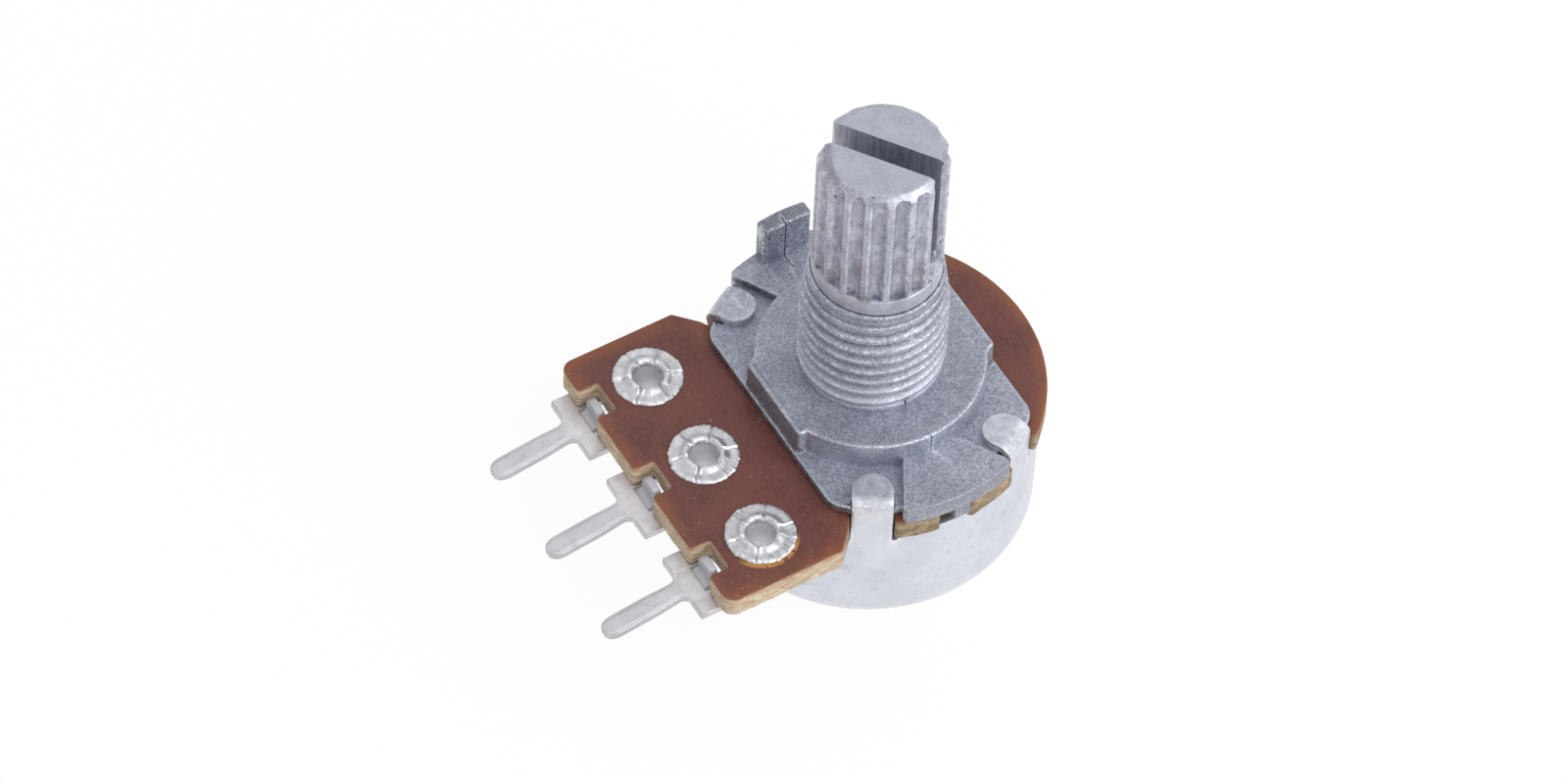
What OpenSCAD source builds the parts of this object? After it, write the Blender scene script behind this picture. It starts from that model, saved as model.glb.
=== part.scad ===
// Rotary potentiometer with a fluted split shaft, a threaded mounting neck,
// a riveted terminal board and a tabbed sheet-metal cover.
// The origin lies on the shaft axis at the panel seat. +Z runs along the shaft,
// the three terminals point to -Y and the anti-turn lug stands at -X.

/* [Shaft] */
// Diameter of the journal and of the fluted tip
shaft_d = 6; // [5.6:0.1:6.2]
// Reach of the tip above the panel seat
shaft_reach = 15; // [12:0.5:25]
// Height of the plain collar between the neck and the flutes
collar_h = 0.95; // [0.4:0.05:1.5]
// Number of flutes round the tip
flute_count = 18; // [12:2:20]
// Width of one flute at the rim
flute_w = 0.82; // [0.5:0.02:0.9]
// Depth of one flute
flute_depth = 0.3; // [0.15:0.05:0.35]
// Chamfer round the tip
tip_chamfer = 0.45; // [0.3:0.05:0.8]
// Width of the screwdriver slot
slot_w = 1.1; // [0.8:0.1:1.6]
// Depth of the screwdriver slot
slot_depth = 6.5; // [1:0.5:7]
// Diameter of the flange that the board traps in the bushing
flange_d = 8; // [7.4:0.1:8.4]
// Diameter of the tail that drives the rotor
tail_d = 4.8; // [4.2:0.1:5.2]
// Width across the two flats of the tail
tail_flats = 3.6; // [3:0.1:4]
// Angle from +X to the slot at rest
rest_turn = 36; // [-50:1:230]

/* [Bushing] */
// Major diameter of the threaded neck
neck_d = 6.9; // [6.7:0.1:8]
// Length of the neck above the panel seat
neck_len = 6.8; // [5:0.1:10]
// Height of the tapered lead-in at the mouth of the neck
lead_in_h = 2.4; // [0.4:0.1:3]
// Wall of the neck at its mouth
mouth_wall = 0.1; // [0.06:0.02:0.3]
// Spacing of the thread
thread_pitch = 0.75; // [0.6:0.05:1]
// Depth of the thread
thread_depth = 0.25; // [0.1:0.05:0.3]
// Radial running clearance between the shaft and its bore
shaft_clearance = 0.03; // [0.01:0.01:0.1]
// Diameter of the round boss that seats on the panel
boss_d = 10.7; // [10:0.1:11.4]
// Height of the boss above the plate
boss_h = 1.5; // [1.3:0.1:2.5]
// Width across the two flats of the boss
flat_span = 10.3; // [9.8:0.1:10.6]
// Length of each flat of the boss
flat_len = 4.7; // [3:0.1:5.5]
// Setback of the plate's round edge from the edge of the board
plate_setback = 0.5; // [0.3:0.05:0.7]
// Width of the plate across its two straight edges
plate_w = 10.75; // [10.4:0.05:11.2]
// Thickness of the plate
plate_t = 0.5; // [0.4:0.05:0.9]
// Overhang of the two raised sectors past the edge of the board
sector_lip = 0.1; // [0.05:0.05:0.5]
// Height of the raised sectors above the plate
sector_h = 0.5; // [0.3:0.02:0.9]
// Gap from the middle of a cover tab to the side of a sector
sector_gap = 1.38; // [1.2:0.02:1.8]
// Width of the anti-turn lug
lug_w = 2.5; // [1.5:0.1:3.2]
// Thickness of the anti-turn lug
lug_t = 0.85; // [0.6:0.05:1.4]
// Height of the lug above its sector
lug_h = 2.4; // [1:0.05:3.5]
// Width of the two locating keys under the sectors
key_w = 0.8; // [0.6:0.05:1.2]
// Depth of the locating keys below the plate
key_h = 0.95; // [0.5:0.05:1.1]

/* [Board] */
// Diameter of the round part of the board
board_d = 16.4; // [16.1:0.1:17.2]
// Thickness of the board
board_t = 1.2; // [1.1:0.1:1.8]
// Width of the terminal tongue
tongue_w = 15.4; // [14.8:0.1:16]
// Corner radius of the tongue
tongue_corner_r = 0.6; // [0.2:0.1:1]
// Width of each notch in the end of the tongue
end_notch_w = 1.7; // [1.5:0.1:2.2]
// Depth of each notch in the end of the tongue
end_notch_depth = 1.05; // [0.9:0.05:1.3]
// Width of the notch round each locating key
key_notch_w = 1.5; // [1.5:0.1:2]
// Offset of the key notches toward the terminals
key_notch_shift = 0.3; // [0:0.05:0.3]

/* [Terminals] */
// Spacing of the terminals
terminal_pitch = 5.08; // [4.9:0.02:5.2]
// Diameter of the spread rivet heads
rivet_head_d = 3.4; // [2.8:0.1:3.8]
// Gap between the plate of the bushing and the rivet heads
rivet_gap = 1.725; // [1.5:0.025:2]
// Distance of the rivet row from the end of the tongue
rivet_setback = 3.2; // [2.9:0.1:3.8]
// Diameter of the hole through each rivet
rivet_hole_d = 1.25; // [0.8:0.05:1.4]
// Number of petals in a spread rivet head
petal_count = 6; // [4:1:8]
// Thickness of the terminal sheet
terminal_sheet = 0.4; // [0.3:0.05:0.5]
// Width of the terminal plates
terminal_w = 3.6; // [3.2:0.1:4]
// Overhang of the terminal plates past the tongue
terminal_overhang = 0.9; // [0.7:0.1:1.6]
// Width of the terminal pins
pin_w = 1.05; // [0.8:0.05:1.3]
// Length of the pins past the terminal plates
pin_len = 4.15; // [2.6:0.05:7]
// Downward slope of the pins
pin_slope = 8; // [0:1:10]
// Width of the upright tooth in each end notch
tooth_w = 1.2; // [0.8:0.1:1.4]

/* [Cover] */
// Setback of the cover's wall from the edge of the board
cover_setback = 0.25; // [0.15:0.025:0.3]
// Depth of the cover below the board
cover_depth = 6.4; // [5.6:0.1:8]
// Thickness of the cover sheet
cover_sheet = 0.4; // [0.3:0.05:0.5]
// Outer radius of the cover's bottom edge
cover_edge_r = 0.8; // [0.6:0.1:1.5]
// Width of the four folded tabs
tab_w = 1.9; // [1.4:0.1:2]
// Length of the folded part of a tab
tab_fold = 1.95; // [1.4:0.05:2.2]
// Angle of the tabs from the X axis
tab_angle = 30; // [27:1:33]

/* [Rotor] */
// Turn of the shaft from stop to stop
travel = 300; // [260:5:310]
// Setback of the rotor disc from the edge of the board
rotor_setback = 2; // [1.9:0.05:2.4]
// Thickness of the rotor disc
rotor_t = 2.4; // [1.6:0.1:2.8]
// Room for the wiper between the board and the rotor
wiper_room = 1.2; // [1:0.05:1.4]
// Thickness of the wiper spring
wiper_sheet = 0.2; // [0.15:0.05:0.3]
// Setback of the resistive track from the edge of the board
track_setback = 1.6; // [1.5:0.05:2]
// Width of the resistive track
track_w = 1.4; // [1.1:0.1:1.6]

/* [Hidden] */

// Fineness of the round faces
$fn = 96;
// Number of steps in a small rounded corner
corner_steps = 6;
// Overrun of cuts and of joined solids
over = 0.2;

// Running gaps and seats
axial_play = 0.05;
part_gap = 0.25;
seat_gap = 0.04;
notch_gap = 0.1;

// Levels along the shaft
plate_top = -boss_h;
board_top = plate_top - plate_t;
sector_top = plate_top + sector_h;
board_bottom = board_top - board_t;
cover_back = board_bottom - cover_depth;
flute_base = neck_len + collar_h;

// Radii
shaft_r = shaft_d / 2;
bore_r = shaft_r + shaft_clearance;
neck_r = neck_d / 2;
mouth_r = bore_r + mouth_wall;
boss_r = boss_d / 2;
board_r = board_d / 2;
plate_r = board_r - plate_setback;
sector_r = board_r + sector_lip;
cover_r = board_r - cover_setback;
cover_inner_r = cover_r - cover_sheet;
tab_tip_r = cover_r - tab_fold;
tail_r = tail_d / 2;
flange_r = flange_d / 2;

// Thread of the neck
thread_foot = 0.3;
groove_share = 0.7;
groove_w = thread_pitch * groove_share;
turn_count = floor((neck_len - thread_foot) / thread_pitch);

// Flange of the shaft and its recess under the boss
recess_h = 1;
recess_r = flange_r + part_gap;
flange_top = board_top + recess_h - axial_play;
flange_bottom = board_top + axial_play;

// Fold of the cover tabs over the plate
fold_share = 0.75;
fold_inner_r = cover_sheet * fold_share;
fold_r = fold_inner_r + cover_sheet;
tab_seat_r = cover_inner_r - fold_inner_r - axial_play;
tab_top = plate_top + cover_sheet;

// Sides of the raised sectors
sector_apex = sector_gap / sin(tab_angle);

// Conductors under the board
film_t = 0.05;
film_bottom = board_bottom - film_t;
track_outer_r = board_r - track_setback;
track_inner_r = track_outer_r - track_w;
track_mid_r = (track_inner_r + track_outer_r) / 2;
pad_angle = 8;
track_end_angle = travel / 2 - pad_angle;
pad_w = 1.2;
pad_eye_r = 1.35;
ring_inner_r = 3.3;
ring_outer_r = 4.3;
ring_mid_r = (ring_inner_r + ring_outer_r) / 2;

// Terminals and rivets
rivet_row = (plate_w + rivet_head_d) / 2 + rivet_gap;
tongue_reach = rivet_row + rivet_setback;
terminal_reach = tongue_reach + terminal_overhang;
terminal_top = film_bottom;
terminal_bottom = terminal_top - terminal_sheet;
terminal_eye_r = 1.5;
rivet_hole_r = rivet_hole_d / 2;
rivet_wall = 0.22;
rivet_r = rivet_hole_r + rivet_wall;
rivet_seat_r = rivet_r + seat_gap;
rivet_head_r = rivet_head_d / 2;
rivet_crest = 0.3;
rivet_rim_t = 0.1;
rivet_foot_r = 1.3;
rivet_foot_t = 0.22;
split_w = 0.12;
tooth_sink_share = 0.25;
tooth_top = board_top - board_t * tooth_sink_share;
tooth_bend_r = terminal_sheet * fold_share;
tooth_slit = 0.1;
tooth_y = -tongue_reach + end_notch_depth / 4;
pin_tip_share = 0.8;
pin_root_r = 0.35;
rib_w_share = 0.92;
rib_nose_share = 0.95;
rib_h = 0.16;
rib_nose = 0.45;

// Shoulders of the tongue, as shares of the board's radius
shoulder_share = 0.735;
tongue_root_share = 0.6;

// Rim of the cover
relief_w = 0.25;
relief_depth = 0.45;
rim_cut_depth = 1.2;
rim_cut_half_angle = 42;
rim_cut_level = board_bottom - rim_cut_depth;

// Rotor and its stop
rotor_top = board_bottom - wiper_room;
rotor_bottom = rotor_top - rotor_t;
rotor_r = board_r - rotor_setback;
stop_w = 1.6;
stop_inner_r = rotor_r + part_gap;
stop_arm_r = cover_inner_r - part_gap;
stop_half_angle = asin(stop_w / 2 / stop_inner_r);
stop_margin = 0.8;
stop_arm_half_angle = 180 - travel / 2 - stop_half_angle - stop_margin;
rivet_over_h = 0.5;
rivet_over_lip = 0.4;
rivet_over_r = tail_r + rivet_over_lip;
tail_clearance = 0.35;

// Points of an arc, from angle a to angle b round the point c
function arc(c, r, a, b, steps) =
    [for (i = [0 : steps]) c + r * [cos(a + (b - a) * i / steps), sin(a + (b - a) * i / steps)]];

// Disc cut by two parallel flats
module flatted_disc(r, span) {
    intersection() {
        circle(r = r);
        square([2 * r, span], center = true);
    }
}

// Flat ring between two angles
module ring_sector(inner_r, outer_r, level, height, start, end) {
    translate([0, 0, level])
        rotate([0, 0, start])
            rotate_extrude(angle = end - start)
                translate([inner_r, 0])
                    square([outer_r - inner_r, height]);
}

// The same child at each of the four tab places
module at_tabs() {
    for (angle = [tab_angle, 180 - tab_angle, 180 + tab_angle, -tab_angle])
        rotate([0, 0, angle])
            children();
}

// The same child at the board's notch for each locating key
module at_keys() {
    for (side = [0, 1])
        mirror([side, 0, 0])
            translate([0, -key_notch_shift, 0])
                children();
}

// Outline from one radius outward at a tab, wider than the tab by a gap each side
module tab_slot(inner_r, gap) {
    translate([inner_r, -tab_w / 2 - gap])
        square([sector_r, tab_w + 2 * gap]);
}

// Die-cast bushing

module sector_outline() {
    reach = sector_r + over;
    spread = (reach - sector_apex) * tan(tab_angle);
    intersection() {
        circle(r = sector_r);
        polygon([[sector_apex, 0], [reach, -spread], [reach, spread]]);
    }
}

module bushing_plate() {
    translate([0, 0, board_top])
        linear_extrude(plate_t)
            difference() {
                flatted_disc(plate_r, plate_w);
                at_tabs() tab_slot(tab_seat_r, seat_gap);
            }
}

// Round boss cut by two flats, which run on past the round as a block
module bushing_boss() {
    translate([0, 0, board_top])
        linear_extrude(-board_top) {
            flatted_disc(boss_r, flat_span);
            square([flat_len, flat_span], center = true);
        }
}

// Outer radius of the neck at a level, with the taper at its mouth
function neck_edge(z) = neck_r - (neck_r - mouth_r) * max(0, z - neck_len + lead_in_h) / lead_in_h;

// Points of one thread groove that starts at a level
function thread_groove(z) = [
    [neck_edge(z), z],
    [max(neck_edge(z) - thread_depth, mouth_r), z + groove_w / 2],
    [neck_edge(z + groove_w), z + groove_w]];

// Neck with rings in place of a helical thread
module bushing_neck() {
    grooves = [for (turn = [0 : turn_count - 1]) each thread_groove(thread_foot + turn * thread_pitch)];
    rotate_extrude()
        polygon(concat(
            [[0, -boss_h], [neck_r, -boss_h]],
            grooves,
            [[mouth_r, neck_len], [0, neck_len]]));
}

module bushing_sector() {
    translate([0, 0, board_top])
        linear_extrude(sector_top - board_top)
            sector_outline();
    // Key that sets the board and the cover
    translate([0, 0, board_top - key_h])
        linear_extrude(key_h + over)
            intersection() {
                circle(r = sector_r);
                translate([tab_seat_r, -key_w / 2])
                    square([sector_r, key_w]);
            }
}

module bushing_lug() {
    translate([0, 0, sector_top - over])
        linear_extrude(lug_h + over)
            intersection() {
                circle(r = sector_r);
                translate([-sector_r, -lug_w / 2])
                    square([lug_t, lug_w]);
            }
}

module bushing() {
    color([0.62, 0.64, 0.69])
        difference() {
            union() {
                bushing_plate();
                bushing_boss();
                bushing_neck();
                bushing_sector();
                rotate([0, 0, 180]) bushing_sector();
                bushing_lug();
            }
            translate([0, 0, board_top - over])
                cylinder(r = bore_r, h = neck_len - board_top + 2 * over);
            translate([0, 0, board_top - over])
                cylinder(r = recess_r, h = recess_h + over);
        }
}

// Shaft, turned and fluted, with the slot that splits its tip

module tail_outline(clearance) {
    flatted_disc(tail_r + clearance, tail_flats + 2 * clearance);
}

module shaft_flutes() {
    flute_r = (pow(flute_w / 2, 2) + pow(flute_depth, 2)) / (2 * flute_depth);
    for (i = [0 : flute_count - 1])
        rotate([0, 0, (i + 0.5) * 360 / flute_count])
            translate([shaft_r - flute_depth + flute_r, 0, flute_base])
                cylinder(r = flute_r, h = shaft_reach - flute_base + over, $fn = 24);
}

module shaft() {
    tip_base = shaft_reach - tip_chamfer;
    color([0.66, 0.67, 0.70])
        rotate([0, 0, rest_turn])
            difference() {
                union() {
                    translate([0, 0, flange_bottom])
                        cylinder(r = shaft_r, h = tip_base - flange_bottom);
                    translate([0, 0, tip_base])
                        cylinder(r1 = shaft_r, r2 = shaft_r - tip_chamfer, h = tip_chamfer);
                    translate([0, 0, flange_bottom])
                        cylinder(r = flange_r, h = flange_top - flange_bottom);
                    translate([0, 0, rotor_top])
                        cylinder(r = tail_r, h = flange_bottom - rotor_top + over);
                    translate([0, 0, rotor_bottom - over])
                        linear_extrude(rotor_t + 2 * over)
                            tail_outline(0);
                    translate([0, 0, rotor_bottom - rivet_over_h])
                        cylinder(r = rivet_over_r, h = rivet_over_h);
                }
                shaft_flutes();
                translate([-shaft_d, -slot_w / 2, shaft_reach - slot_depth])
                    cube([2 * shaft_d, slot_w, slot_depth + over]);
            }
}

// Laminate board

module tongue_outline() {
    x = tongue_w / 2;
    corner_y = -tongue_reach + tongue_corner_r;
    shoulder_y = -board_r * shoulder_share;
    root_y = -board_r * tongue_root_share;
    root_x = sqrt(pow(board_r, 2) - pow(root_y, 2)) - seat_gap;
    polygon(concat(
        arc([-x + tongue_corner_r, corner_y], tongue_corner_r, 180, 270, corner_steps),
        arc([x - tongue_corner_r, corner_y], tongue_corner_r, 270, 360, corner_steps),
        [[x, shoulder_y], [root_x, root_y], [-root_x, root_y], [-x, shoulder_y]]));
}

module board() {
    color([0.45, 0.20, 0.13])
        translate([0, 0, board_bottom])
            linear_extrude(board_t)
                difference() {
                    union() {
                        circle(r = board_r);
                        tongue_outline();
                    }
                    circle(r = tail_r + tail_clearance);
                    at_tabs() tab_slot(tab_seat_r, notch_gap);
                    at_keys()
                        translate([tab_seat_r - part_gap, -key_notch_w / 2])
                            square([board_r, key_notch_w]);
                    for (place = [-1, 0, 1])
                        translate([place * terminal_pitch, 0]) {
                            translate([0, -rivet_row])
                                circle(r = rivet_seat_r);
                            translate([-end_notch_w / 2, -tongue_reach - over])
                                square([end_notch_w, end_notch_depth + over]);
                        }
                }
}

// Conducting films printed under the board

module carbon_track() {
    color([0.10, 0.10, 0.11])
        ring_sector(track_inner_r, track_outer_r, film_bottom, film_t,
                    90 - track_end_angle, 90 + track_end_angle);
}

module rivet_clear(place) {
    translate([place * terminal_pitch, -rivet_row])
        circle(r = rivet_seat_r);
}

module collector_ring() {
    color([0.80, 0.80, 0.78])
        translate([0, 0, film_bottom])
            linear_extrude(film_t)
                difference() {
                    union() {
                        circle(r = ring_outer_r);
                        translate([-pad_w / 2, -rivet_row])
                            square([pad_w, rivet_row]);
                        translate([0, -rivet_row])
                            circle(r = pad_eye_r);
                    }
                    circle(r = ring_inner_r);
                    rivet_clear(0);
                }
}

module end_pad(side) {
    end_angle = 90 - side * travel / 2;
    eye = [side * terminal_pitch, -rivet_row];
    foot = track_mid_r * [cos(end_angle), sin(end_angle)];
    lead = foot - eye;
    color([0.80, 0.80, 0.78]) {
        difference() {
            union() {
                translate([0, 0, film_bottom])
                    linear_extrude(film_t) {
                        translate(eye)
                            circle(r = pad_eye_r);
                        translate(eye)
                            rotate(atan2(lead[1], lead[0]))
                                translate([0, -pad_w / 2])
                                    square([norm(lead), pad_w]);
                    }
                ring_sector(track_inner_r, track_outer_r, film_bottom, film_t,
                            side > 0 ? end_angle : 90 + track_end_angle,
                            side > 0 ? 90 - track_end_angle : end_angle);
            }
            translate([0, 0, film_bottom - over])
                linear_extrude(film_t + 2 * over)
                    rivet_clear(side);
        }
    }
}

module end_pad_left() {
    end_pad(-1);
}

module end_pad_right() {
    end_pad(1);
}

// Stamped terminals with an upright tooth and a ribbed pin

module terminal_plate() {
    window_top = tooth_y + terminal_sheet + tooth_top - terminal_top;
    translate([0, 0, terminal_bottom])
        linear_extrude(terminal_sheet)
            difference() {
                union() {
                    translate([0, -rivet_row])
                        circle(r = terminal_eye_r);
                    translate([-terminal_w / 2, -terminal_reach])
                        square([terminal_w, terminal_reach - rivet_row]);
                }
                translate([0, -rivet_row])
                    circle(r = rivet_seat_r);
                translate([-tooth_w / 2 - tooth_slit, tooth_y - tooth_bend_r])
                    square([tooth_w + 2 * tooth_slit, window_top - tooth_y + tooth_bend_r]);
            }
}

module terminal_tooth() {
    bend = [tooth_y - tooth_bend_r, terminal_top + tooth_bend_r];
    outer_r = tooth_bend_r + terminal_sheet;
    translate([-tooth_w / 2, 0, 0])
        rotate([90, 0, 90])
            linear_extrude(tooth_w)
                polygon(concat(
                    [[bend[0] - over, terminal_top]],
                    arc(bend, tooth_bend_r, -90, 0, corner_steps),
                    [[tooth_y, tooth_top], [tooth_y + terminal_sheet, tooth_top]],
                    arc(bend, outer_r, 0, -90, corner_steps),
                    [[bend[0] - over, terminal_bottom]]));
}

module terminal_pin() {
    half = pin_w / 2;
    tip_r = half * pin_tip_share;
    rib_half = half * rib_w_share;
    rib_r = (pow(rib_half, 2) + pow(rib_h, 2)) / (2 * rib_h);
    rib_drop = rib_r - rib_h;
    rib_side = (half + rib_half) / 2;
    rib_sink = rib_h / 4;
    rib_len = pin_len + rib_nose;
    nose_r = rib_drop * rib_nose_share;
    translate([0, -terminal_reach, terminal_top])
        rotate([pin_slope, 0, 0]) {
            translate([0, 0, -terminal_sheet])
                linear_extrude(terminal_sheet)
                    polygon(concat(
                        [[half + pin_root_r, over], [-half - pin_root_r, over]],
                        arc([-half - pin_root_r, -pin_root_r], pin_root_r, 90, 0, corner_steps),
                        arc([-half + tip_r, -pin_len + tip_r], tip_r, 180, 270, corner_steps),
                        arc([half - tip_r, -pin_len + tip_r], tip_r, 270, 360, corner_steps),
                        arc([half + pin_root_r, -pin_root_r], pin_root_r, 180, 90, corner_steps)));
            // Low rib pressed up along the pin
            intersection() {
                translate([0, rib_nose, -rib_drop])
                    rotate([90, 0, 0])
                        rotate_extrude($fn = 48)
                            polygon([[0, 0], [nose_r, 0], [rib_r, rib_nose],
                                     [rib_r, rib_len - rib_nose], [nose_r, rib_len], [0, rib_len]]);
                translate([-rib_side, -pin_len, -rib_sink])
                    cube([2 * rib_side, pin_len + 2 * rib_nose, 2 * rib_h]);
            }
        }
}

module terminal(place) {
    color([0.84, 0.84, 0.85])
        translate([place * terminal_pitch, 0, 0]) {
            terminal_plate();
            terminal_tooth();
            terminal_pin();
        }
}

module terminal_left() {
    terminal(-1);
}

module terminal_middle() {
    terminal(0);
}

module terminal_right() {
    terminal(1);
}

// Hollow rivets, split into petals where they are spread over the board

module rivet(place) {
    crest_r = (rivet_r + rivet_head_r) / 2;
    color([0.86, 0.86, 0.85])
        translate([place * terminal_pitch, -rivet_row, 0])
            difference() {
                rotate_extrude($fn = 48)
                    polygon([
                        [rivet_hole_r, terminal_bottom - rivet_foot_t],
                        [rivet_foot_r, terminal_bottom - rivet_foot_t],
                        [rivet_foot_r, terminal_bottom],
                        [rivet_r, terminal_bottom],
                        [rivet_r, board_top],
                        [rivet_head_r, board_top],
                        [rivet_head_r, board_top + rivet_rim_t],
                        [crest_r, board_top + rivet_crest],
                        [rivet_r, board_top + rivet_crest / 2],
                        [rivet_hole_r, board_top - rivet_rim_t]]);
                for (i = [0 : petal_count - 1])
                    rotate([0, 0, (i + 0.25) * 360 / petal_count])
                        translate([rivet_r, -split_w / 2, board_top + rivet_rim_t / 2])
                            cube([rivet_head_r, split_w, rivet_crest]);
            }
}

module rivet_left() {
    rivet(-1);
}

module rivet_middle() {
    rivet(0);
}

module rivet_right() {
    rivet(1);
}

// Rotor that carries the wiper, with the arm that meets the stop

module stop_arm_outline() {
    reach = stop_arm_r + over;
    spread = reach * tan(stop_arm_half_angle);
    intersection() {
        circle(r = stop_arm_r);
        polygon([[0, 0], [reach, -spread], [reach, spread]]);
    }
}

module rotor() {
    color([0.16, 0.16, 0.17])
        rotate([0, 0, rest_turn])
            translate([0, 0, rotor_bottom])
                linear_extrude(rotor_t)
                    difference() {
                        union() {
                            circle(r = rotor_r);
                            stop_arm_outline();
                        }
                        tail_outline(seat_gap);
                    }
}

// Spring contact, with fingers for the track and for the ring

module wiper_finger(root_r, contact_r, width) {
    crest = film_bottom - axial_play;
    heel = rotor_top + wiper_sheet;
    rotate([90, 0, 0])
        translate([0, 0, -width / 2])
            linear_extrude(width)
                polygon([
                    [root_r, rotor_top], [root_r + 2 * wiper_sheet, rotor_top],
                    [contact_r, crest - wiper_sheet], [contact_r + wiper_sheet, crest - 2 * wiper_sheet],
                    [contact_r + 2 * wiper_sheet, crest - 2 * wiper_sheet], [contact_r, crest],
                    [root_r + wiper_sheet, heel], [root_r, heel]]);
}

module wiper() {
    root_r = tail_r + part_gap;
    base_r = root_r + 3 * wiper_sheet;
    finger_w = 0.6;
    finger_step = 9;
    color([0.78, 0.62, 0.30])
        rotate([0, 0, rest_turn])
            union() {
                difference() {
                    translate([0, 0, rotor_top])
                        cylinder(r = base_r, h = wiper_sheet);
                    translate([0, 0, rotor_top - over])
                        cylinder(r = root_r, h = wiper_sheet + 2 * over);
                }
                for (step = [-1, 0, 1])
                    rotate([0, 0, step * finger_step])
                        wiper_finger(base_r - wiper_sheet, track_mid_r, finger_w);
                for (side = [-1, 1])
                    rotate([0, 0, 180 + side * finger_step])
                        wiper_finger(base_r - wiper_sheet, ring_mid_r, finger_w);
            }
}

// Sheet-metal cover with four tabs folded over the bushing

module cover_profile() {
    inner_edge_r = cover_edge_r - cover_sheet;
    edge = [cover_r - cover_edge_r, cover_back + cover_edge_r];
    fold = [cover_r - fold_r, tab_top - fold_r];
    polygon(concat(
        [[0, cover_back]],
        arc(edge, cover_edge_r, -90, 0, 2 * corner_steps),
        arc(fold, fold_r, 0, 90, 2 * corner_steps),
        [[tab_tip_r - over, tab_top], [tab_tip_r - over, plate_top]],
        arc(fold, fold_inner_r, 90, 0, corner_steps),
        arc(edge, inner_edge_r, 0, -90, corner_steps),
        [[0, cover_back + cover_sheet]]));
}

module tab_outline() {
    tip_r = tab_w / 2;
    reach = cover_r + over;
    at_tabs()
        polygon(concat(
            [[reach, -tip_r], [reach, tip_r]],
            arc([tab_tip_r + tip_r, 0], tip_r, 90, 270, 2 * corner_steps)));
}

module cover() {
    color([0.82, 0.83, 0.86]) {
        difference() {
            rotate_extrude()
                cover_profile();
            // Everything above the rim but the tabs
            translate([0, 0, board_bottom])
                linear_extrude(tab_top - board_bottom + over)
                    difference() {
                        circle(r = cover_r + 2 * over);
                        tab_outline();
                    }
            // Relief cuts at the roots of the tabs
            at_tabs()
                for (side = [-1, 1])
                    translate([cover_inner_r - over, side * (tab_w + relief_w) / 2 - relief_w / 2,
                               board_bottom - relief_depth])
                        cube([cover_r, relief_w, relief_depth + over]);
            // Gap that keeps the rim clear of the terminals
            ring_sector(cover_inner_r - over, cover_r + over, rim_cut_level, rim_cut_depth + over,
                        -90 - rim_cut_half_angle, -90 + rim_cut_half_angle);
        }
        // Stop tab bent inward from the edge of the gap
        translate([-stop_w / 2, -cover_inner_r - cover_sheet / 2, rim_cut_level - cover_sheet])
            cube([stop_w, cover_inner_r + cover_sheet / 2 - stop_inner_r, cover_sheet]);
    }
}

bushing();
shaft();
board();
carbon_track();
collector_ring();
end_pad_left();
end_pad_right();
terminal_left();
terminal_middle();
terminal_right();
rivet_left();
rivet_middle();
rivet_right();
rotor();
wiper();
cover();
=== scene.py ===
"""Looks of the rotary potentiometer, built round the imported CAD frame.

Sizes are in millimetres, as in the part's source. A mesh is scaled to metres when its piece is finished.
"""

import math

import bmesh
import bpy
import numpy as np
from mathutils import Matrix, Vector, geometry, noise


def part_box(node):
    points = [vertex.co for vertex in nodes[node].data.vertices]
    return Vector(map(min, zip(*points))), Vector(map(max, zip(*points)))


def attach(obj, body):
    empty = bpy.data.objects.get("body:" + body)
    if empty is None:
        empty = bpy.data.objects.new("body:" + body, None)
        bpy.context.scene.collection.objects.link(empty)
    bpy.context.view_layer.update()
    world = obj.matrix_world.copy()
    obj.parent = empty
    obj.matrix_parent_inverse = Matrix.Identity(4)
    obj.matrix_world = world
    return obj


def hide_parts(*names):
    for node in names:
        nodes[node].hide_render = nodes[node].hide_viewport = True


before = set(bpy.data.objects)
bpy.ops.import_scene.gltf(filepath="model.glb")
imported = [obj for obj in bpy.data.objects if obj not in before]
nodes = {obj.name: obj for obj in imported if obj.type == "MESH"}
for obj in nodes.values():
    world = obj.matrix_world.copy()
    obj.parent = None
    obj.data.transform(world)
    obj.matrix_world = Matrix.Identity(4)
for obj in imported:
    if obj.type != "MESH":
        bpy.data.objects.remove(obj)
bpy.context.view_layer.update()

MM = 0.001
# Edges that turn by more than this many degrees are shaded as sharp
SHARP_TURN = 38


def box_mm(node):
    """Lowest and highest corner of a CAD node in millimetres."""
    low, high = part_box(node)
    return np.array(low) / MM, np.array(high) / MM


# Levels and reaches read from the frame
BOARD_BOTTOM, BOARD_TOP = (corner[2] for corner in box_mm("board"))
COVER_BACK, TAB_TOP = (corner[2] for corner in box_mm("cover"))
COVER_R = box_mm("cover")[1][0]
NECK_TOP = box_mm("bushing")[1][2]
SECTOR_R = box_mm("bushing")[1][0]
SHAFT_FOOT, SHAFT_TIP = (corner[2] for corner in box_mm("shaft"))
ROTOR_BOTTOM, ROTOR_TOP = (corner[2] for corner in box_mm("rotor"))
RIVET_FOOT = box_mm("rivet_middle")[0][2]
TERMINAL_TOP = box_mm("carbon_track")[0][2]
PIN_REACH = -box_mm("terminal_middle")[0][1]

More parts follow.
